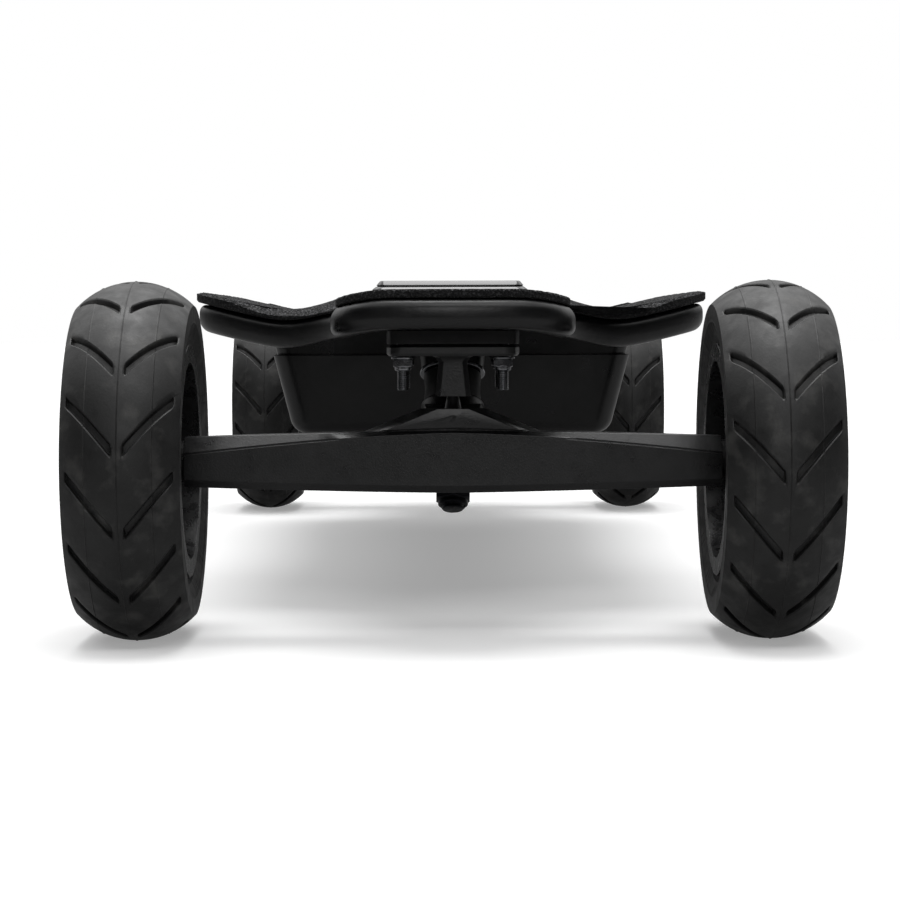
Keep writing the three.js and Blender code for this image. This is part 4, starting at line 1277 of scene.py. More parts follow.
    def build(self, name: str, centre: Vector, first_apex: float) -> Piece:
        """Builds the tyre where it stands.

        Args:
            name: The piece's name.
            centre: The middle of the wheel.
            first_apex: The angle over the axle of an arrow's point on the side that faces the nose.

        Returns:
            The tyre as one closed ring.
        """
        profile = self.profile()
        columns = self.columns()
        pitch = FULL_TURN / self.groove_count
        count = len(columns) * self.groove_count
        rows = len(profile)
        deselect()
        bpy.ops.mesh.primitive_torus_add(major_segments=count, minor_segments=rows, generate_uvs=False)
        piece = bpy.context.active_object
        piece.name = name
        for index, vertex in enumerate(piece.data.vertices):
            order, row = divmod(index, rows)
            groove, column = divmod(order, len(columns))
            x, radius = profile[row]
            on_tread = radius >= self.tread_radius(self.shoulder_half) - WELD
            off = self.pinch(x, columns[column])
            if on_tread:
                radius += self.seam(x) - self.depth(x, off)
            x += math.copysign(self.rib(x, radius, column), -x)
            angle = math.radians(first_apex) - groove * pitch - off / self.radius + self.slant(x)
            spot = Vector((x, -radius * math.cos(angle), radius * math.sin(angle)))
            vertex.co = centre + spot
        weld(piece)
        shade(piece, self.sharp_angle)
        return piece


# How far over the axle an arrow of each tread points, on the side that faces the nose, in degrees
TREAD_APEXES = {"front_left": 56.9, "front_right": 48.2, "rear_left": 50.0, "rear_right": 40.0}


@dataclass(frozen=True)
class Smoothing:
    """A solid that keeps its form and has its edges rounded. The suffix ends the piece's name."""

    node: str
    edge: float
    suffix: str

    def build(self, paints: Paints) -> None:
        """Builds and dresses the piece from a merged copy of the solid.

        Args:
            paints: The materials.
        """
        piece = merged_copy(self.node, f"{self.node}_{self.suffix}")
        round_edges(piece, self.edge)
        paints.dress(piece, self.node)


@dataclass(frozen=True)
class Wheels:
    """The four wheels: where they stand and how their treads are turned."""

    station: float = 0.132
    base_half: float = 0.425
    radius: float = 0.075
    edge: float = 0.0006

    def build(self, paints: Paints) -> None:
        """Builds and dresses the tyres, and smooths the rims, cans and covers.

        Args:
            paints: The materials.
        """
        for corner, apex in TREAD_APEXES.items():
            side = -1 if corner.endswith("left") else 1
            end = -1 if corner.startswith("front") else 1
            centre = Vector((side * self.station, end * self.base_half, self.radius))
            tyre = Tyre().build(f"{corner}_tread_tyre", centre, apex)
            paints.dress(tyre, f"{corner}_tyre")
            for part in ("rim",) if end < 0 else ("motor_can", "motor_cover"):
                Smoothing(f"{corner}_{part}", self.edge, "cast").build(paints)


# Trucks and small parts


@dataclass(frozen=True)
class Truck:
    """The places and heights that a truck's pieces share, drawn as if the axle stood over the origin."""

    base_half: float = 0.425
    tilt: float = math.radians(22)
    ring_inset: float = 0.032
    ring_height: float = 0.0892
    ring_half: float = 0.009
    ring_radius: float = 0.0136
    seat: float = 0.0003
    board_bushing: float = 0.0132
    road_bushing: float = 0.0167
    washer: float = 0.0017
    kingpin_radius: float = 0.005
    kingpin_seat: float = 0.003
    nut_height: float = 0.0085
    thread_stand: float = 0.002
    pivot_outset: float = 0.008
    axle_height: float = 0.075
    plate_under: float = 0.1187
    deck_top: float = 0.1423

    @property
    def bushing_top(self) -> float:
        """Along the kingpin, the top of the bushing under the plate."""
        return self.ring_half + self.seat + self.board_bushing

    @property
    def plate_seat(self) -> float:
        """Along the kingpin, the plate's seat over the upper washer."""
        return self.bushing_top + 2 * self.seat + self.washer

    @property
    def bushing_end(self) -> float:
        """Along the kingpin, the lower end of the bushing over the nut."""
        return -self.ring_half - self.seat - self.road_bushing

    @property
    def nut_top(self) -> float:
        """Along the kingpin, the top of its nut."""
        return self.bushing_end - 2 * self.seat - self.washer - self.seat

    def at_end(self, end: str) -> Matrix:
        """The way from the drawing to the front or the rear truck."""
        front = Matrix.Translation((0, -self.base_half, 0))
        return front if end == "front" else Matrix.Rotation(HALF_TURN, 4, "Z") @ front

    @property
    def on_kingpin(self) -> Matrix:
        """The way from a piece drawn about Z to the leaning kingpin."""
        place = Matrix.Translation((0, self.ring_inset, self.ring_height))
        return place @ Matrix.Rotation(-self.tilt, 4, "X")

    @property
    def on_axle(self) -> Matrix:
        """The way from a piece drawn about Z to the axle."""
        return Matrix.Translation((0, 0, self.axle_height)) @ Matrix.Rotation(QUARTER_TURN, 4, "Y")


@dataclass(frozen=True)
class Thread:
    """A rolled screw thread, as a helix in the mesh."""

    radius: float
    pitch: float
    low: float
    high: float
    depth_share: float = 0.55
    segments: int = 24

    def build(self, name: str) -> Piece:
        """Builds the threaded rod about Z.

        Args:
            name: The piece's name.

        Returns:
            The closed rod, with its ends cut square.
        """
        root = self.radius - self.pitch * self.depth_share
        radii = (root, (root + self.radius) / 2, self.radius, (root + self.radius) / 2)
        steps = len(radii)
        rows = math.ceil((self.high - self.low) / self.pitch * steps) + steps

        def place(column: int, row: int) -> Vector:
            """A point of the helix.

            Args:
                column: Which step round the axis.
                row: Which step along the winding, from one end's middle to the other's.

            Returns:
                The point's place.
            """
            share = column / self.segments
            rise = ((row - 1) / steps + share - 1) * self.pitch
            height = min(max(self.low + rise, self.low), self.high)
            clipped = not self.low < self.low + rise < self.high
            radius = 0.0 if row in (0, rows) else root if clipped else radii[(row - 1) % steps]
            angle = FULL_TURN * share
            return Vector((radius * math.cos(angle), radius * math.sin(angle), height))

        piece = laid_grid(name, self.segments, rows, place)
        weld(piece)
        return piece


@dataclass(frozen=True)
class Nut:
    """A hexagonal nut with turned chamfers and, at its foot, the round collar of a lock nut."""

    flats: float
    height: float
    bore: float
    collar: float
    collar_share: float = 0.84
    chamfer_share: float = 0.94
    steps: int = 4
    segments: int = ROUND_MIDDLE

    def limit(self, share: float) -> float:
        """The radius that the chamfer leaves at a share of its depth."""
        return self.flats / 2 * mix(self.chamfer_share, 1 / math.cos(HEX_HALF), share)

    def build(self, name: str, top: float) -> Piece:
        """Builds the nut about Z, under the height top.

        Args:
            name: The piece's name.
            top: The height of its flat upper face.

        Returns:
            The nut, open along its bore.
        """
        chamfer = self.flats / 2 * (1 / math.cos(HEX_HALF) - self.chamfer_share) * math.tan(HEX_HALF)
        foot = top - self.height
        hexagon = foot + self.collar
        shares = [i / self.steps for i in range(self.steps + 1)]
        rows = [(self.bore, top, 0.0)]
        rows += [(self.flats, top - chamfer * share, share) for share in shares]
        rows += [(self.flats, hexagon + chamfer * share, share) for share in reversed(shares)]
        if self.collar:
            wide = self.flats / 2 * self.collar_share
            rounding = filleted([
                (wide, hexagon, 0.0), (wide, foot, self.collar / 2), (self.bore, foot, 0.0),
            ])
            rows += [(radius, height, -1.0) for radius, height in rounding]
        rows += [(self.bore, foot, -1.0), (self.bore, top, -1.0)]

        def place(column: int, row: int) -> Vector:
            """A point on the flats or inside their chamfer.

            Args:
                column: Which step round the axis.
                row: Which row from the bore over the faces and back.

            Returns:
                The point's place.
            """
            radius, height, share = rows[row]
            angle = FULL_TURN * column / self.segments
            if radius == self.flats:
                turn = (angle + HEX_HALF) % (2 * HEX_HALF) - HEX_HALF
                radius = min(self.flats / 2 / math.cos(turn), self.limit(share))
            return Vector((radius * math.cos(angle), radius * math.sin(angle), height))

        piece = laid_grid(name, self.segments, len(rows) - 1, place)
        weld(piece)
        return piece


@dataclass(frozen=True)
class Bolts:
    """The mounting bolts: a countersunk screw, a washer and a lock nut each."""

    truck: Truck = Truck()
    radius: float = 0.0025
    pitch: float = 0.0008
    low: float = 0.1046
    sink: float = 0.0004
    head_radius: float = 0.0046
    head_height: float = 0.003
    head_rim: float = 0.0005
    socket_radius: float = 0.0016
    washer_radius: float = 0.0049
    washer_height: float = 0.0009
    washer_round: float = 0.0003
    washer_steps: int = 2
    nut: Nut = Nut(0.008, 0.0048, 0.0026, 0.0014)
    thread_reach: float = 0.0165

    def model(self) -> Piece:
        """Models one bolt about Z.

        Returns:
            The screw, its washer and its nut as one piece.
        """
        top = self.truck.deck_top - self.sink
        change = self.low + self.thread_reach
        socket = top - self.head_height / 2
        thread = Thread(self.radius, self.pitch, self.low, change).build("bolt_thread")
        body = turned("bolt_body", [
            (0.0, change), (self.radius, change), (self.radius, top - self.head_height),
            (self.head_radius, top - self.head_rim), (self.head_radius, top),
            (self.socket_radius, top), (self.socket_radius, socket), (0.0, socket),
        ], ROUND_SMALL)
        seat = self.truck.plate_under - self.truck.seat
        foot = seat - self.washer_height
        bore = self.nut.bore
        washer = turned("bolt_washer", filleted([
            (bore, seat, 0.0), (self.washer_radius, seat, self.washer_round),
            (self.washer_radius, foot, self.washer_round), (bore, foot, 0.0), (bore, seat, 0.0),
        ], self.washer_steps), ROUND_SMALL)
        nut = self.nut.build("bolt_nut", foot)
        return join([thread, body, washer, nut], "bolt_model")

    def build(self, paints: Paints) -> None:
        """Copies the bolt to the places of the eight solids.

        Args:
            paints: The materials.
        """
        model = self.model()
        nodes = [node for node in frame["nodes"] if "_bolt_" in node]
        for node in nodes:
            low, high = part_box(node)
            piece = model.copy()
            piece.data = model.data.copy()
            piece.name = f"{node}_screw"
            bpy.context.scene.collection.objects.link(piece)
            set_in(piece, Matrix.Translation(((low[0] + high[0]) / 2, (low[1] + high[1]) / 2, 0)))
            shade(piece)
            paints.dress(piece, node)
        bpy.data.objects.remove(model)


@dataclass(frozen=True)
class Hanger:
    """The cast hanger: an arched beam with a ledge, a web up to the pivot and a ring round the kingpin."""

    truck: Truck = Truck()
    half: float = 0.112
    rear: float = 0.0088
    front: float = -0.013
    end_front: float = -0.0105
    bottom: float = 0.0618
    end_bottom: float = 0.0644
    top: float = 0.0876
    end_top: float = 0.085
    face_top: float = 0.0866
    face_end: float = 0.0776
    chamfer: float = 0.003
    toe: float = 0.0021
    ledge_slope: float = 0.8
    arch: float = 1.4
    groove: float = 0.0009
    strip_start: float = 0.047
    strip_full: float = 0.050
    web_half: float = 0.036
    web_apex_half: float = 0.0064
    web_apex: float = 0.0968
    web_apex_depth: float = 0.0044
    web_apex_back: float = 0.0064
    web_spread: float = 0.007
    web_setback: float = 0.0003
    web_foot: float = 0.0889
    channel_depth: float = 0.0042
    neck_radius: float = 0.0027
    ball_radius: float = 0.0032
    mouth: float = 0.102
    shoulder_radius: float = 0.0084
    shoulder_end: float = 0.1162
    washer_radius: float = 0.0142
    bushing_radius: float = 0.0125
    bore_radius: float = 0.00767
    bore_reach: float = 0.027
    lean_room: float = 0.0008
    axle_radius: float = 0.0053
    edge: float = 0.0008
    stations: int = 48
    lip_high_share: float = 0.7
    lip_low_share: float = 0.2
    channel_dip_share: float = 0.07
    channel_steps: int = 24
    pin_foot_share: float = 1.5
    pin_flare_share: float = 1.1
    ball_start_share: float = 0.28
    ball_steps: int = 12
    ball_points: int = 10
    yoke_foot: float = 0.005
    yoke_shares: tuple[float, float, float] = (0.8, 0.9, 0.98)
    yoke_height_share: float = 0.8

    def at(self, x: float, middle: float, end: float) -> float:
        """A height or depth that changes along the arch from the middle to the beam's ends."""
        return mix(middle, end, (abs(x) / self.half) ** self.arch)

    def ring(self, x: float) -> list[Vector]:
        """The beam's section, with the dark line under its ledge strip.

        Args:
            x: The place along the beam.

        Returns:
            The points round it.
        """
        bottom = self.at(x, self.bottom, self.end_bottom)
        top = self.at(x, self.top, self.end_top)
        face = self.at(x, self.face_top, self.face_end)
        front = self.at(x, self.front, self.end_front)
        ledge = front + (top - face) * self.ledge_slope
        depth = self.groove * smooth_step(self.strip_start, self.strip_full, abs(x))
        lip = min(self.groove, (top - face) * THIRD)
        section = [
            (front + self.toe, bottom),
            (self.rear - self.chamfer, bottom),
            (self.rear, bottom + self.chamfer),
            (self.rear, top - self.chamfer),
            (self.rear - self.chamfer, top),
            (ledge, top),
            (front + lip * self.ledge_slope, face + lip),
            (front + depth, face + lip * self.lip_high_share),
            (front + depth, face + lip * self.lip_low_share),
            (front, face),
            (front, bottom + self.chamfer),
        ]
        return [Vector((x, y, z)) for y, z in section]

    def beam(self) -> Piece:
        """The beam from wheel to wheel."""
        step = 2 * self.half / self.stations
        return loft("beam", [self.ring(-self.half + i * step) for i in range(self.stations + 1)])

    def web(self) -> Piece:
        """The web from the beam's top up to the pivot pin, over a shadow line along the face's top edge.

        Returns:
            The web, with its edges rounded.
        """
        foot = self.top - self.chamfer

        def ring(half: float, front: float, back: float, z: float) -> list[Vector]:
            """A level section, wider at its back.

            Args:
                half: Half its width at the front.
                front: The place of its front.
                back: The place of its back.
                z: Its height.

            Returns:
                The points round it.
            """
            spread = half + self.web_spread
            return [Vector((-half, front, z)), Vector((half, front, z)),
                    Vector((spread, back, z)), Vector((-spread, back, z))]

        pivot = -self.truck.pivot_outset
        front = self.front + self.web_setback
        back = self.rear - self.chamfer
        near = pivot - self.web_apex_depth
        far = pivot + self.web_apex_back
        low = ring(self.web_half, front, back, foot)
        piece = loft("web", [low, ring(self.web_apex_half, near, far, self.web_apex)])
        combine(piece, self.channel(), "DIFFERENCE")
        round_edges(piece, self.edge)
        return piece

    def channel(self) -> Piece:
        """The block that clears the shadow line between the face and the web.

        Returns:
            The arched block, to be cut out.
        """
        rings = []
        reach = self.web_half + self.web_spread * 2
        near = self.front - self.chamfer
        far = self.front + self.channel_depth
        for i in range(self.channel_steps + 1):
            x = mix(-reach, reach, i / self.channel_steps)
            low = self.at(x, self.face_top, self.face_end) - self.chamfer * 2
            high = self.at(x, self.web_foot, self.web_foot - self.web_foot * self.channel_dip_share)
            section = ((near, low), (far, low), (far, high), (near, high))
            rings.append([Vector((x, y, z)) for y, z in section])
        return loft("channel", rings)

    def pin(self) -> Piece:
        """The pivot pin: a neck that flares into the web, and its ball.

        Returns:
            The pin in its place.
        """
        truck = self.truck
        height = truck.ring_height + (truck.ring_inset + truck.pivot_outset) * math.tan(truck.tilt)
        foot = self.web_apex - self.web_apex_back / 2
        radius = self.ball_radius
        profile = [
            (0.0, foot),
            (radius * self.pin_foot_share, foot),
            (radius * self.pin_flare_share, self.web_apex),
            (self.neck_radius, self.mouth - self.edge),
        ]
        for i in range(self.ball_points):
            angle = HALF_TURN * (i / self.ball_steps - self.ball_start_share)
            profile.append((radius * math.cos(angle), height + radius * math.sin(angle)))
        profile.append((0.0, height + radius))
        piece = turned("pin", profile, ROUND_SMALL)
        return set_in(piece, Matrix.Translation((0, -truck.pivot_outset, 0)))

    def yoke(self) -> Piece:
        """The neck between the beam and the ring.

        Returns:
            The neck, with its edges rounded.
        """
        truck = self.truck

        def ring(half: float, y: float, z: float, height: float) -> list[Vector]:
            """An upright section: half its width, its place, its middle height and half its height."""
            return [Vector((-half, y, z - height)), Vector((-half, y, z + height)),
                    Vector((half, y, z + height)), Vector((half, y, z - height))]

        rise = self.chamfer * 2 * THIRD
        foot, middle, end = (truck.ring_radius * share for share in self.yoke_shares)
        height = truck.ring_half * self.yoke_height_share
        piece = loft("yoke", [
            ring(foot, self.rear - self.chamfer - self.yoke_foot, self.top + rise, self.yoke_foot),
            ring(middle, self.rear, truck.ring_height + rise, height),
            ring(end, truck.ring_inset, truck.ring_height, height),
        ])
        round_edges(piece, self.edge)
        return piece

    def build(self, name: str, end: str) -> Piece:
        """Builds the hanger in its place.

        Args:
            name: The piece's name.
            end: Which truck it belongs to.

        Returns:
            The casting as one solid.
        """
        truck = self.truck
        piece = self.beam()
        round_edges(piece, self.edge / 2)
        ring = turned("ring", filleted([
            (0.0, -truck.ring_half, 0.0), (truck.ring_radius, -truck.ring_half, self.edge),
            (truck.ring_radius, truck.ring_half, self.edge), (0.0, truck.ring_half, 0.0),
        ]), ROUND_LARGE)
        shoulder = turned("shoulder", filleted([
            (0.0, -self.shoulder_end, 0.0), (self.shoulder_radius, -self.shoulder_end, self.edge),
            (self.shoulder_radius, self.shoulder_end, self.edge), (0.0, self.shoulder_end, 0.0),
        ]))
        set_in(ring, truck.on_kingpin)
        set_in(shoulder, truck.on_axle)
        for part in (self.web(), self.pin(), self.yoke(), ring, shoulder):
            combine(piece, part, "UNION")
        for radius, low, high in (
            (self.bore_radius, -self.bore_reach, self.bore_reach),
            (self.washer_radius + self.lean_room, truck.ring_half, truck.plate_seat),
            (self.bushing_radius + self.lean_room, truck.nut_top - truck.nut_height, -truck.ring_half),
        ):
            combine(piece, set_in(rod(radius, low, high, ROUND_LARGE), truck.on_kingpin), "DIFFERENCE")
        far = self.shoulder_end + self.chamfer
        combine(piece, set_in(rod(self.axle_radius, -far, far, ROUND_LARGE), truck.on_axle), "DIFFERENCE")
        set_in(piece, truck.at_end(end))
        piece.name = name
        shade(piece)
        return piece


@dataclass(frozen=True)
class KingpinStack:
    """The kingpin with all that it holds: two bushings, two washers and a lock nut."""

    truck: Truck = Truck()
    bore: float = 0.0054
    bushing_radius: float = 0.0125
    bushing_waist: float = 0.0119
    board_washer_radius: float = 0.0142
    road_washer_radius: float = 0.011
    rounding: float = 0.0009
    waist_round: float = 0.0027
    washer_edge: float = 0.0005
    head_radius: float = 0.008
    head_height: float = 0.005
    pitch: float = 0.0015
    thread_segments: int = 40
    bushing_steps: int = 6
    nut: Nut = Nut(0.0143, 0.0085, 0.0053, 0.0022, 0.9)

    def bushing(self, low: float, high: float) -> list[tuple[float, float]]:
        """A bushing's section, a little drawn in at its middle.

        Args:
            low: Along the kingpin, its lower end.
            high: Along the kingpin, its upper end.

        Returns:
            Pairs of a radius and a height.
        """
        middle = (low + high) / 2
        wide = self.bushing_radius
        return filleted([
            (self.bore, low, 0.0), (wide, low, self.rounding), (self.bushing_waist, middle, self.waist_round),
            (wide, high, self.rounding), (self.bore, high, 0.0), (self.bore, low, 0.0),
        ], self.bushing_steps)

    def washer(self, radius: float, low: float) -> list[tuple[float, float]]:
        """A washer's section.

        Args:
            radius: Its outer radius.
            low: Along the kingpin, its lower face.

        Returns:
            Pairs of a radius and a height.
        """
        high = low + self.truck.washer
        return filleted([
            (self.bore, low, 0.0), (radius, low, self.washer_edge), (radius, high, self.washer_edge),
            (self.bore, high, 0.0), (self.bore, low, 0.0),
        ])

    def kingpin(self) -> Piece:
        """The pin: a plain shank, its head in the plate and its thread in the nut.

        Returns:
            The pin about Z.
        """
        truck = self.truck
        low = truck.nut_top - truck.nut_height - truck.thread_stand
        change = truck.nut_top + self.pitch
        head = truck.plate_seat + truck.kingpin_seat + truck.seat
        thread = Thread(truck.kingpin_radius, self.pitch, low, change, segments=self.thread_segments)
        rolled = thread.build("kingpin_thread")
        shank = turned("kingpin_shank", filleted([
            (0.0, change, 0.0), (truck.kingpin_radius, change, 0.0), (truck.kingpin_radius, head, 0.0),
            (self.head_radius, head, 0.0), (self.head_radius, head + self.head_height, self.rounding),
            (0.0, head + self.head_height, 0.0),
        ]))
        return join([rolled, shank], "kingpin_model")

    def build(self, paints: Paints) -> None:
        """Builds and dresses the pieces of both trucks.

        Args:
            paints: The materials.
        """
        truck = self.truck
        ring = truck.ring_half + truck.seat
        upper = truck.bushing_top + truck.seat
        lower = truck.bushing_end - truck.seat - truck.washer
        gives = {"board_bushing": (truck.bushing_top, ring), "road_bushing": (truck.bushing_end, -ring)}
        sections = {
            "board_bushing": self.bushing(ring, truck.bushing_top),
            "road_bushing": self.bushing(truck.bushing_end, -ring),
            "board_washer": self.washer(self.board_washer_radius, upper),
            "road_washer": self.washer(self.road_washer_radius, lower),
        }
        for end in ("front", "rear"):
            place = truck.at_end(end) @ truck.on_kingpin
            made = {part: turned(part, section, ROUND_LARGE) for part, section in sections.items()}
            made["kingpin"] = self.kingpin()
            made["kingpin_nut"] = self.nut.build("nut", truck.nut_top - truck.seat)
            for part, piece in made.items():
                piece.name = f"{end}_{part}_turned"
                set_in(piece, place)
                shade(piece)
                node = f"{end}_{part}"
                if part in gives:
                    self.give(paints.dress_only(piece, node), end, place, *gives[part])
                else:
                    paints.dress(piece, node)

    def give(self, piece: Piece, end: str, place: Matrix, far: float, near: float) -> None:
        """Bakes a dressed bushing's transform into its mesh.

        Args:
            piece: The dressed bushing.
            end: Which truck it is in; not used.
            place: The way from the drawing to that truck's kingpin; not used.
            far: Along the kingpin, the end at its washer; not used.
            near: Along the kingpin, the end at the ring; not used.
        """
        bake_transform(piece)


@dataclass(frozen=True)
class Trucks:
    """Both trucks."""

    plate_edge: float = 0.0012
    riser_edge: float = 0.0004

    def build(self, paints: Paints) -> None:
        """Builds and dresses every piece of the trucks.

        Args:
            paints: The materials.
        """
        for end in ("front", "rear"):
            paints.dress(Hanger().build(f"{end}_hanger_casting", end), f"{end}_hanger")
            Smoothing(f"{end}_baseplate", self.plate_edge, "formed").build(paints)
            Smoothing(f"{end}_riser", self.riser_edge, "formed").build(paints)
        KingpinStack().build(paints)
        Bolts().build(paints)


# Tub and lid


def rounded_outline(
    half_x: float, half_y: float, corner: float, steps: int, sides: int
) -> list[tuple[float, float]]:
    """Points round a rectangle with rounded corners, as many and in the same order whatever its size.

    Args:
        half_x: Half its width.
        half_y: Half its length.
        corner: The radius of its corners.
        steps: Faces in each corner.
        sides: Faces along each side.

    Returns:
        The points, anticlockwise from the far end of the right-hand side.
    """
    line = []
    for quarter, (sign_x, sign_y) in enumerate(((1, 1), (-1, 1), (-1, -1), (1, -1))):
        start = quarter * QUARTER_TURN
        centre = (sign_x * (half_x - corner), sign_y * (half_y - corner))
        for step in range(steps + 1):
            angle = start + step / steps * QUARTER_TURN
            line.append((centre[0] + corner * math.cos(angle), centre[1] + corner * math.sin(angle)))
    outline = []
    for index, point in enumerate(line):
        outline.append(point)
        if index % (steps + 1) == steps:
            after = line[(index + 1) % len(line)]
            for i in range(1, sides):
                outline.append((mix(point[0], after[0], i / sides), mix(point[1], after[1], i / sides)))
    return outline


@dataclass(frozen=True)
class Tub:
    """The moulded battery tub: a tapered, thin-walled cup whose rim follows the deck."""

    form: DeckForm = DeckForm()
    half_x: float = 0.0855
    half_y: float = 0.285
    bottom: float = 0.0806
    taper: float = 0.010
    wall: float = 0.003
    corner: float = 0.009
    edge: float = 0.006
    step: float = 0.1180
    step_inset: float = 0.0018
    gap: float = 0.0003
    rim: float = 0.1216
    port_x: float = 0.026
    port_radius: float = 0.0093
    button_radius: float = 0.0084
    fitting_height: float = 0.104
    pocket_depth: float = 0.0106
    pocket_wall: float = 0.002
    corner_steps: int = 10
    side_steps: int = 16
    edge_steps: int = 8

    def ring(self, inset: float, z: float | None) -> list[Vector]:
        """The tub's outline at a height, or along its rim.

        Args:
            inset: How far in from the outer skin.
            z: The height, or None for the rim, which follows the deck.

        Returns:
            The points round it.
        """
        height = self.rim if z is None else z
        drawn = inset + self.taper * (self.rim - height) / (self.rim - self.bottom)
        corner = max(self.corner - inset, self.wall)
        outline = rounded_outline(
            self.half_x - drawn, self.half_y - drawn, corner, self.corner_steps, self.side_steps
        )
        if z is not None:
            return [Vector((x, y, z)) for x, y in outline]
        return [Vector((x, y, self.form.under(x, y) - self.gap)) for x, y in outline]

    def skin(self, inset: float, floor: float) -> list[list[Vector]]:
        """The rings of one skin, from its floor to its rim.

        Args:
            inset: How far in from the outer skin.
            floor: The height of the skin's floor.

        Returns:
            The rings from the middle of the floor up.
        """
        edge = self.edge - inset
        middle = [Vector((0.0, 0.0, floor))] * len(self.ring(inset, floor))
        rings = [middle]
        for i in range(self.edge_steps + 1):
            angle = i / self.edge_steps * QUARTER_TURN
            drawn = inset + edge * (1 - math.sin(angle))
            rings.append(self.ring(drawn, floor + edge * (1 - math.cos(angle))))
        rise = self.step - floor - edge
        rings += [self.ring(inset, floor + edge + rise * share) for share in (THIRD, 2 * THIRD, 1)]
        stepped = max(inset, self.step_inset)
        rings.append(self.ring(stepped, self.step + self.gap))
        rings.append(self.ring(stepped, None))
        return rings

    def build(self, paints: Paints) -> None:
        """Builds and dresses the tub, with the holes for the port and the button in its rear wall.

        Args:
            paints: The materials.
        """
        outer = self.skin(0.0, self.bottom)
        inner = self.skin(self.wall, self.bottom + self.wall)
        piece = loft("battery_tub_moulding", [*outer, *reversed(inner)])
        rear = self.half_y - self.taper * (self.rim - self.fitting_height) / (self.rim - self.bottom)
        turn = Matrix.Rotation(-QUARTER_TURN, 4, "X")
        seat = Matrix.Translation((-self.port_x, rear, self.fitting_height)) @ turn
        depth = self.pocket_depth
        pocket = rod(self.button_radius + self.pocket_wall, -depth - self.pocket_wall, -self.wall / 2)
        combine(piece, set_in(pocket, seat), "UNION")
        combine(piece, set_in(rod(self.button_radius, -depth, depth), seat), "DIFFERENCE")
        seat = Matrix.Translation((self.port_x, rear, self.fitting_height)) @ turn
        combine(piece, set_in(rod(self.port_radius, -2 * depth, depth), seat), "DIFFERENCE")
        shade(piece)
        paints.dress(piece, "battery_tub")


@dataclass(frozen=True)
class Lid:
    """The polished hatch: a flat top, a wide bevel over a fine groove, and a skirt down to the gasket."""

    form: DeckForm = DeckForm()
    half_x: float = 0.042
    half_y: float = 0.110
    corner: float = 0.007
    top: float = 0.157
    bevel: float = 0.0043
    bevel_foot: float = 0.1546
    bevel_foot_inset: float = 0.0022
    groove: float = 0.0004
    lip: float = 0.1538
    lip_inset: float = 0.0019
    skirt: float = 0.1523
    edge: float = 0.0004
    gasket: float = 0.0021
    inside: float = 0.009
    corner_steps: int = 8
    side_steps: int = 20

    def rows(self) -> list[tuple[float, float]]:
        """The rings above the skirt, from the flat top down.

        Returns:
            How far in and how high each one lies.
        """
        foot = self.bevel_foot
        inset = self.bevel_foot_inset
        grooved = inset + self.groove
        return [
            (self.bevel + self.inside, self.top),
            (self.bevel + self.edge, self.top),
            (self.bevel, self.top - self.edge * THIRD),
            (self.bevel - self.edge, self.top - self.edge),
            (inset, foot),
            (grooved, foot - self.edge / 2),
            (grooved, self.lip + self.edge / 2),
            (self.lip_inset, self.lip),
            (self.edge, self.skirt + self.edge),
            (0.0, self.skirt),
        ]

    def ring(self, inset: float) -> list[tuple[float, float]]:
        """The lid's outline.

        Args:
            inset: How far it is drawn in.

        Returns:
            The points round it.
        """
        corner = max(self.corner - inset, self.edge)
        half_x = self.half_x - inset
        half_y = self.half_y - inset
        return rounded_outline(half_x, half_y, corner, self.corner_steps, self.side_steps)

    def build(self, paints: Paints) -> None:
        """Builds and dresses the lid.

        Args:
            paints: The materials.
        """
        rings = [[Vector((x, y, z)) for x, y in self.ring(inset)] for inset, z in self.rows()]
        for inset, rise in ((0.0, self.edge), (self.edge, 0.0), (self.inside, 0.0)):
            foot = self.gasket + rise
            rings.append([Vector((x, y, self.form.top(0, y) + foot)) for x, y in self.ring(inset)])
        count = len(rings[0])
        crown = [Vector((0.0, 0.0, self.top))] * count
        floor = [Vector((0.0, 0.0, self.form.top(0, 0) + self.gasket))] * count
        piece = loft("top_hatch_moulding", [crown, *rings, floor])
        shade(piece)
        paints.dress(piece, "top_hatch")


# Stage, light and camera


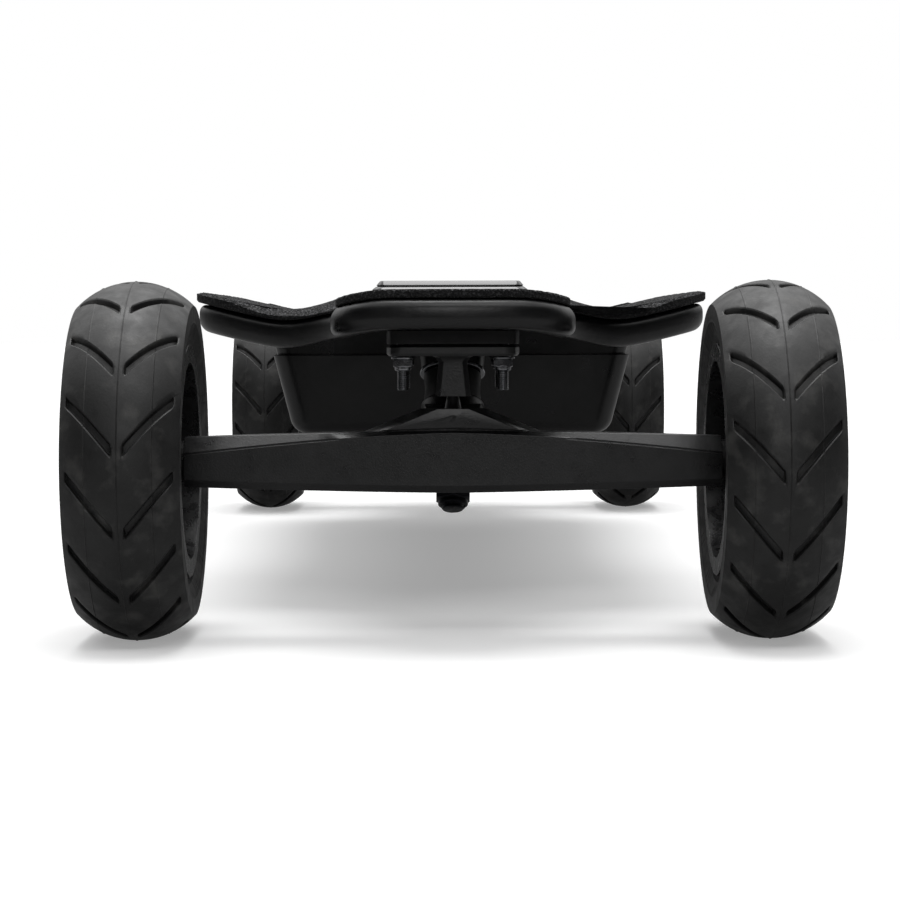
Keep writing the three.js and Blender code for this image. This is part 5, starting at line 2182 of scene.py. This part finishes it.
@dataclass(frozen=True)
class Stage:
    """A plain white floor and backdrop."""

    reach: float = 30.0
    near_edge: float = -1.05
    paper: int = 0xE6E6E6
    mirrored_paper: int = 0x8C8C8C
    lift: float = 0.30
    mirrored_lift_share: float = 0.3
    glow: float = 1.0
    room: float = 0.03
    sweep_start: float = 0.0
    sweep_full: float = 0.5
    low_share: float = 0.12
    low_height: float = 0.05
    high_height: float = 0.45

    def build(self) -> None:
        """Makes the floor and the white world."""
        deselect()
        bpy.ops.mesh.primitive_plane_add(size=2 * self.reach)
        floor = bpy.context.active_object
        floor.name = "floor"
        set_in(floor, Matrix.Translation((0, self.reach + self.near_edge, 0)))
        floor.data.materials.append(self.paint())
        self.world()

    def passing(self, tree: Tree) -> Socket:
        """Whether a ray sees the stage in a mirror or through something clear.

        Args:
            tree: The material's or the world's tree.

        Returns:
            One if so, or else zero.
        """
        path = add_node(tree, "ShaderNodeLightPath", {}).outputs
        links = {0: path["Is Glossy Ray"], 1: path["Is Transmission Ray"]}
        return add_node(tree, "ShaderNodeMath", {"operation": "MAXIMUM"}, links).outputs[0]

    def seen(self, tree: Tree, mirrored: Socket) -> Socket:
        """How much of the glow a ray sees: all of it by camera, or else the share that mirrors show."""
        camera = add_node(tree, "ShaderNodeLightPath", {}).outputs["Is Camera Ray"]
        return add_node(tree, "ShaderNodeMath", {"operation": "MAXIMUM"}, {0: camera, 1: mirrored}).outputs[0]

    def paint(self) -> bpy.types.Material:
        """A white floor that shows white where the light is full and keeps the object's shadow.

        Returns:
            The floor's material.
        """
        material = bpy.data.materials.new("white_floor")
        material.use_nodes = True
        tree = material.node_tree
        tree.nodes.clear()
        passing = self.passing(tree)
        shades = {
            "data_type": "RGBA",
            MIX_FIRST: linear(self.paper),
            MIX_SECOND: linear(self.mirrored_paper),
        }
        colour = add_node(tree, "ShaderNodeMix", shades, {MIX_SHARE: passing}).outputs[MIX_COLOUR]
        diffuse = add_node(tree, "ShaderNodeBsdfDiffuse", {}, {"Color": colour})
        settings = {"operation": "MULTIPLY", 1: self.mirrored_lift_share}
        mirrored = add_node(tree, "ShaderNodeMath", settings, {0: passing}).outputs[0]
        seen = self.seen(tree, mirrored)
        lit = add_node(tree, "ShaderNodeMath", {"operation": "MULTIPLY", 1: self.lift}, {0: seen})
        glow = add_node(tree, "ShaderNodeEmission", {}, {"Strength": lit.outputs[0]})
        both = add_node(tree, "ShaderNodeAddShader", {}, {0: diffuse.outputs[0], 1: glow.outputs[0]})
        add_node(tree, "ShaderNodeOutputMaterial", {}, {"Surface": both.outputs[0]})
        return material

    def world(self) -> None:
        """A white surrounding for the camera, and a soft grey one for everything else."""
        world = bpy.data.worlds.new("studio")
        bpy.context.scene.world = world
        world.use_nodes = True
        tree = world.node_tree
        tree.nodes.clear()
        passing = self.passing(tree)
        direction = add_node(tree, "ShaderNodeTexCoord", {}).outputs["Generated"]
        parts = add_node(tree, "ShaderNodeSeparateXYZ", {}, {0: direction}).outputs
        settings = {"From Min": self.sweep_start, "From Max": self.sweep_full}
        sweep = add_node(tree, "ShaderNodeMapRange", settings, {"Value": parts["Y"]}).outputs["Result"]
        settings = {"From Min": self.low_height, "From Max": self.high_height, "To Min": self.low_share}
        climb = add_node(tree, "ShaderNodeMapRange", settings, {"Value": parts["Z"]}).outputs["Result"]
        times = {"operation": "MULTIPLY"}
        behind = add_node(tree, "ShaderNodeMath", times, {0: climb, 1: sweep}).outputs[0]
        mirrored = add_node(tree, "ShaderNodeMath", times, {0: passing, 1: behind}).outputs[0]
        seen = self.seen(tree, mirrored)
        settings = {"To Min": self.room, "To Max": self.glow}
        strength = add_node(tree, "ShaderNodeMapRange", settings, {"Value": seen}).outputs["Result"]
        sky = add_node(tree, "ShaderNodeBackground", {"Color": (1, 1, 1, 1)}, {"Strength": strength})
        add_node(tree, "ShaderNodeOutputWorld", {}, {"Surface": sky.outputs[0]})


@dataclass(frozen=True)
class Lamp:
    """A softbox: its size, its place, the point it faces and its power in watts."""

    name: str
    width: float
    depth: float
    place: tuple[float, float, float]
    aim: tuple[float, float, float]
    power: float

    def build(self) -> None:
        """Hangs the lamp."""
        data = bpy.data.lights.new(self.name, "AREA")
        data.shape = "RECTANGLE"
        data.size = self.width
        data.size_y = self.depth
        data.energy = self.power
        lamp = bpy.data.objects.new(self.name, data)
        bpy.context.scene.collection.objects.link(lamp)
        lamp.location = self.place
        aim = Vector(self.aim) - Vector(self.place)
        lamp.rotation_euler = aim.to_track_quat("-Z", "Y").to_euler()


@dataclass(frozen=True)
class Camera:
    """The camera where the photograph was taken from."""

    place: tuple[float, float, float] = (-0.0048, -1.515, 0.1263)
    focal_mm: float = 104.08
    sensor_mm: float = 36.0
    pitch: float = math.radians(-2.476)
    yaw: float = math.radians(0.185)
    roll: float = math.radians(-0.17)

    def build(self) -> None:
        """Sets the scene's camera."""
        data = bpy.data.cameras.new("camera")
        data.lens = self.focal_mm
        data.sensor_width = self.sensor_mm
        camera = bpy.data.objects.new("camera", data)
        bpy.context.scene.collection.objects.link(camera)
        level = Matrix.Rotation(QUARTER_TURN + self.pitch, 4, "X")
        turn = Matrix.Rotation(-self.yaw, 4, "Z")
        tip = Matrix.Rotation(self.roll, 4, "Z")
        camera.matrix_world = Matrix.Translation(self.place) @ turn @ level @ tip
        bpy.context.scene.camera = camera


@dataclass(frozen=True)
class Ceiling:
    """A wide even light from above, such as a studio's diffusing cloth or the softbox behind it.

    A tilt under zero tips it towards the tail, so that the light falls forwards.
    """

    name: str
    strength: float
    spread: float
    tilt: float

    def build(self) -> None:
        """Hangs the light as a soft sun."""
        data = bpy.data.lights.new(self.name, "SUN")
        data.energy = self.strength
        data.angle = self.spread
        lamp = bpy.data.objects.new(self.name, data)
        bpy.context.scene.collection.objects.link(lamp)
        lamp.rotation_euler = (self.tilt, 0.0, 0.0)


LIGHTS = (
    Ceiling("cloth", 2.1, math.radians(100), math.radians(-4)),
    Ceiling("softbox", 1.5, math.radians(34), math.radians(-8)),
    Lamp("front_top", 1.2, 0.4, (0.3, -1.6, 1.6), (0.0, -0.4, 0.1), 4.0),
    Lamp("front_low", 1.1, 1.3, (0.05, -3.3, 1.0), (0.0, -0.45, 0.12), 10.0),
)


def main() -> None:
    """Builds the board, the stage, the light and the camera."""
    logging.basicConfig(level=logging.INFO, format="%(name)s: %(message)s")
    random.seed(GRIT_SEED)
    bpy.context.scene.view_settings.view_transform = "Standard"
    paints = Paints()
    for node, solid in frame["nodes"].items():
        paints.coat(solid, paints.of_node[node])
    Deck().build(paints)
    Wheels().build(paints)
    Trucks().build(paints)
    Tub().build(paints)
    Lid().build(paints)
    Stage().build()
    for light in LIGHTS:
        light.build()
    Camera().build()


if __name__ == "__main__":
    main()
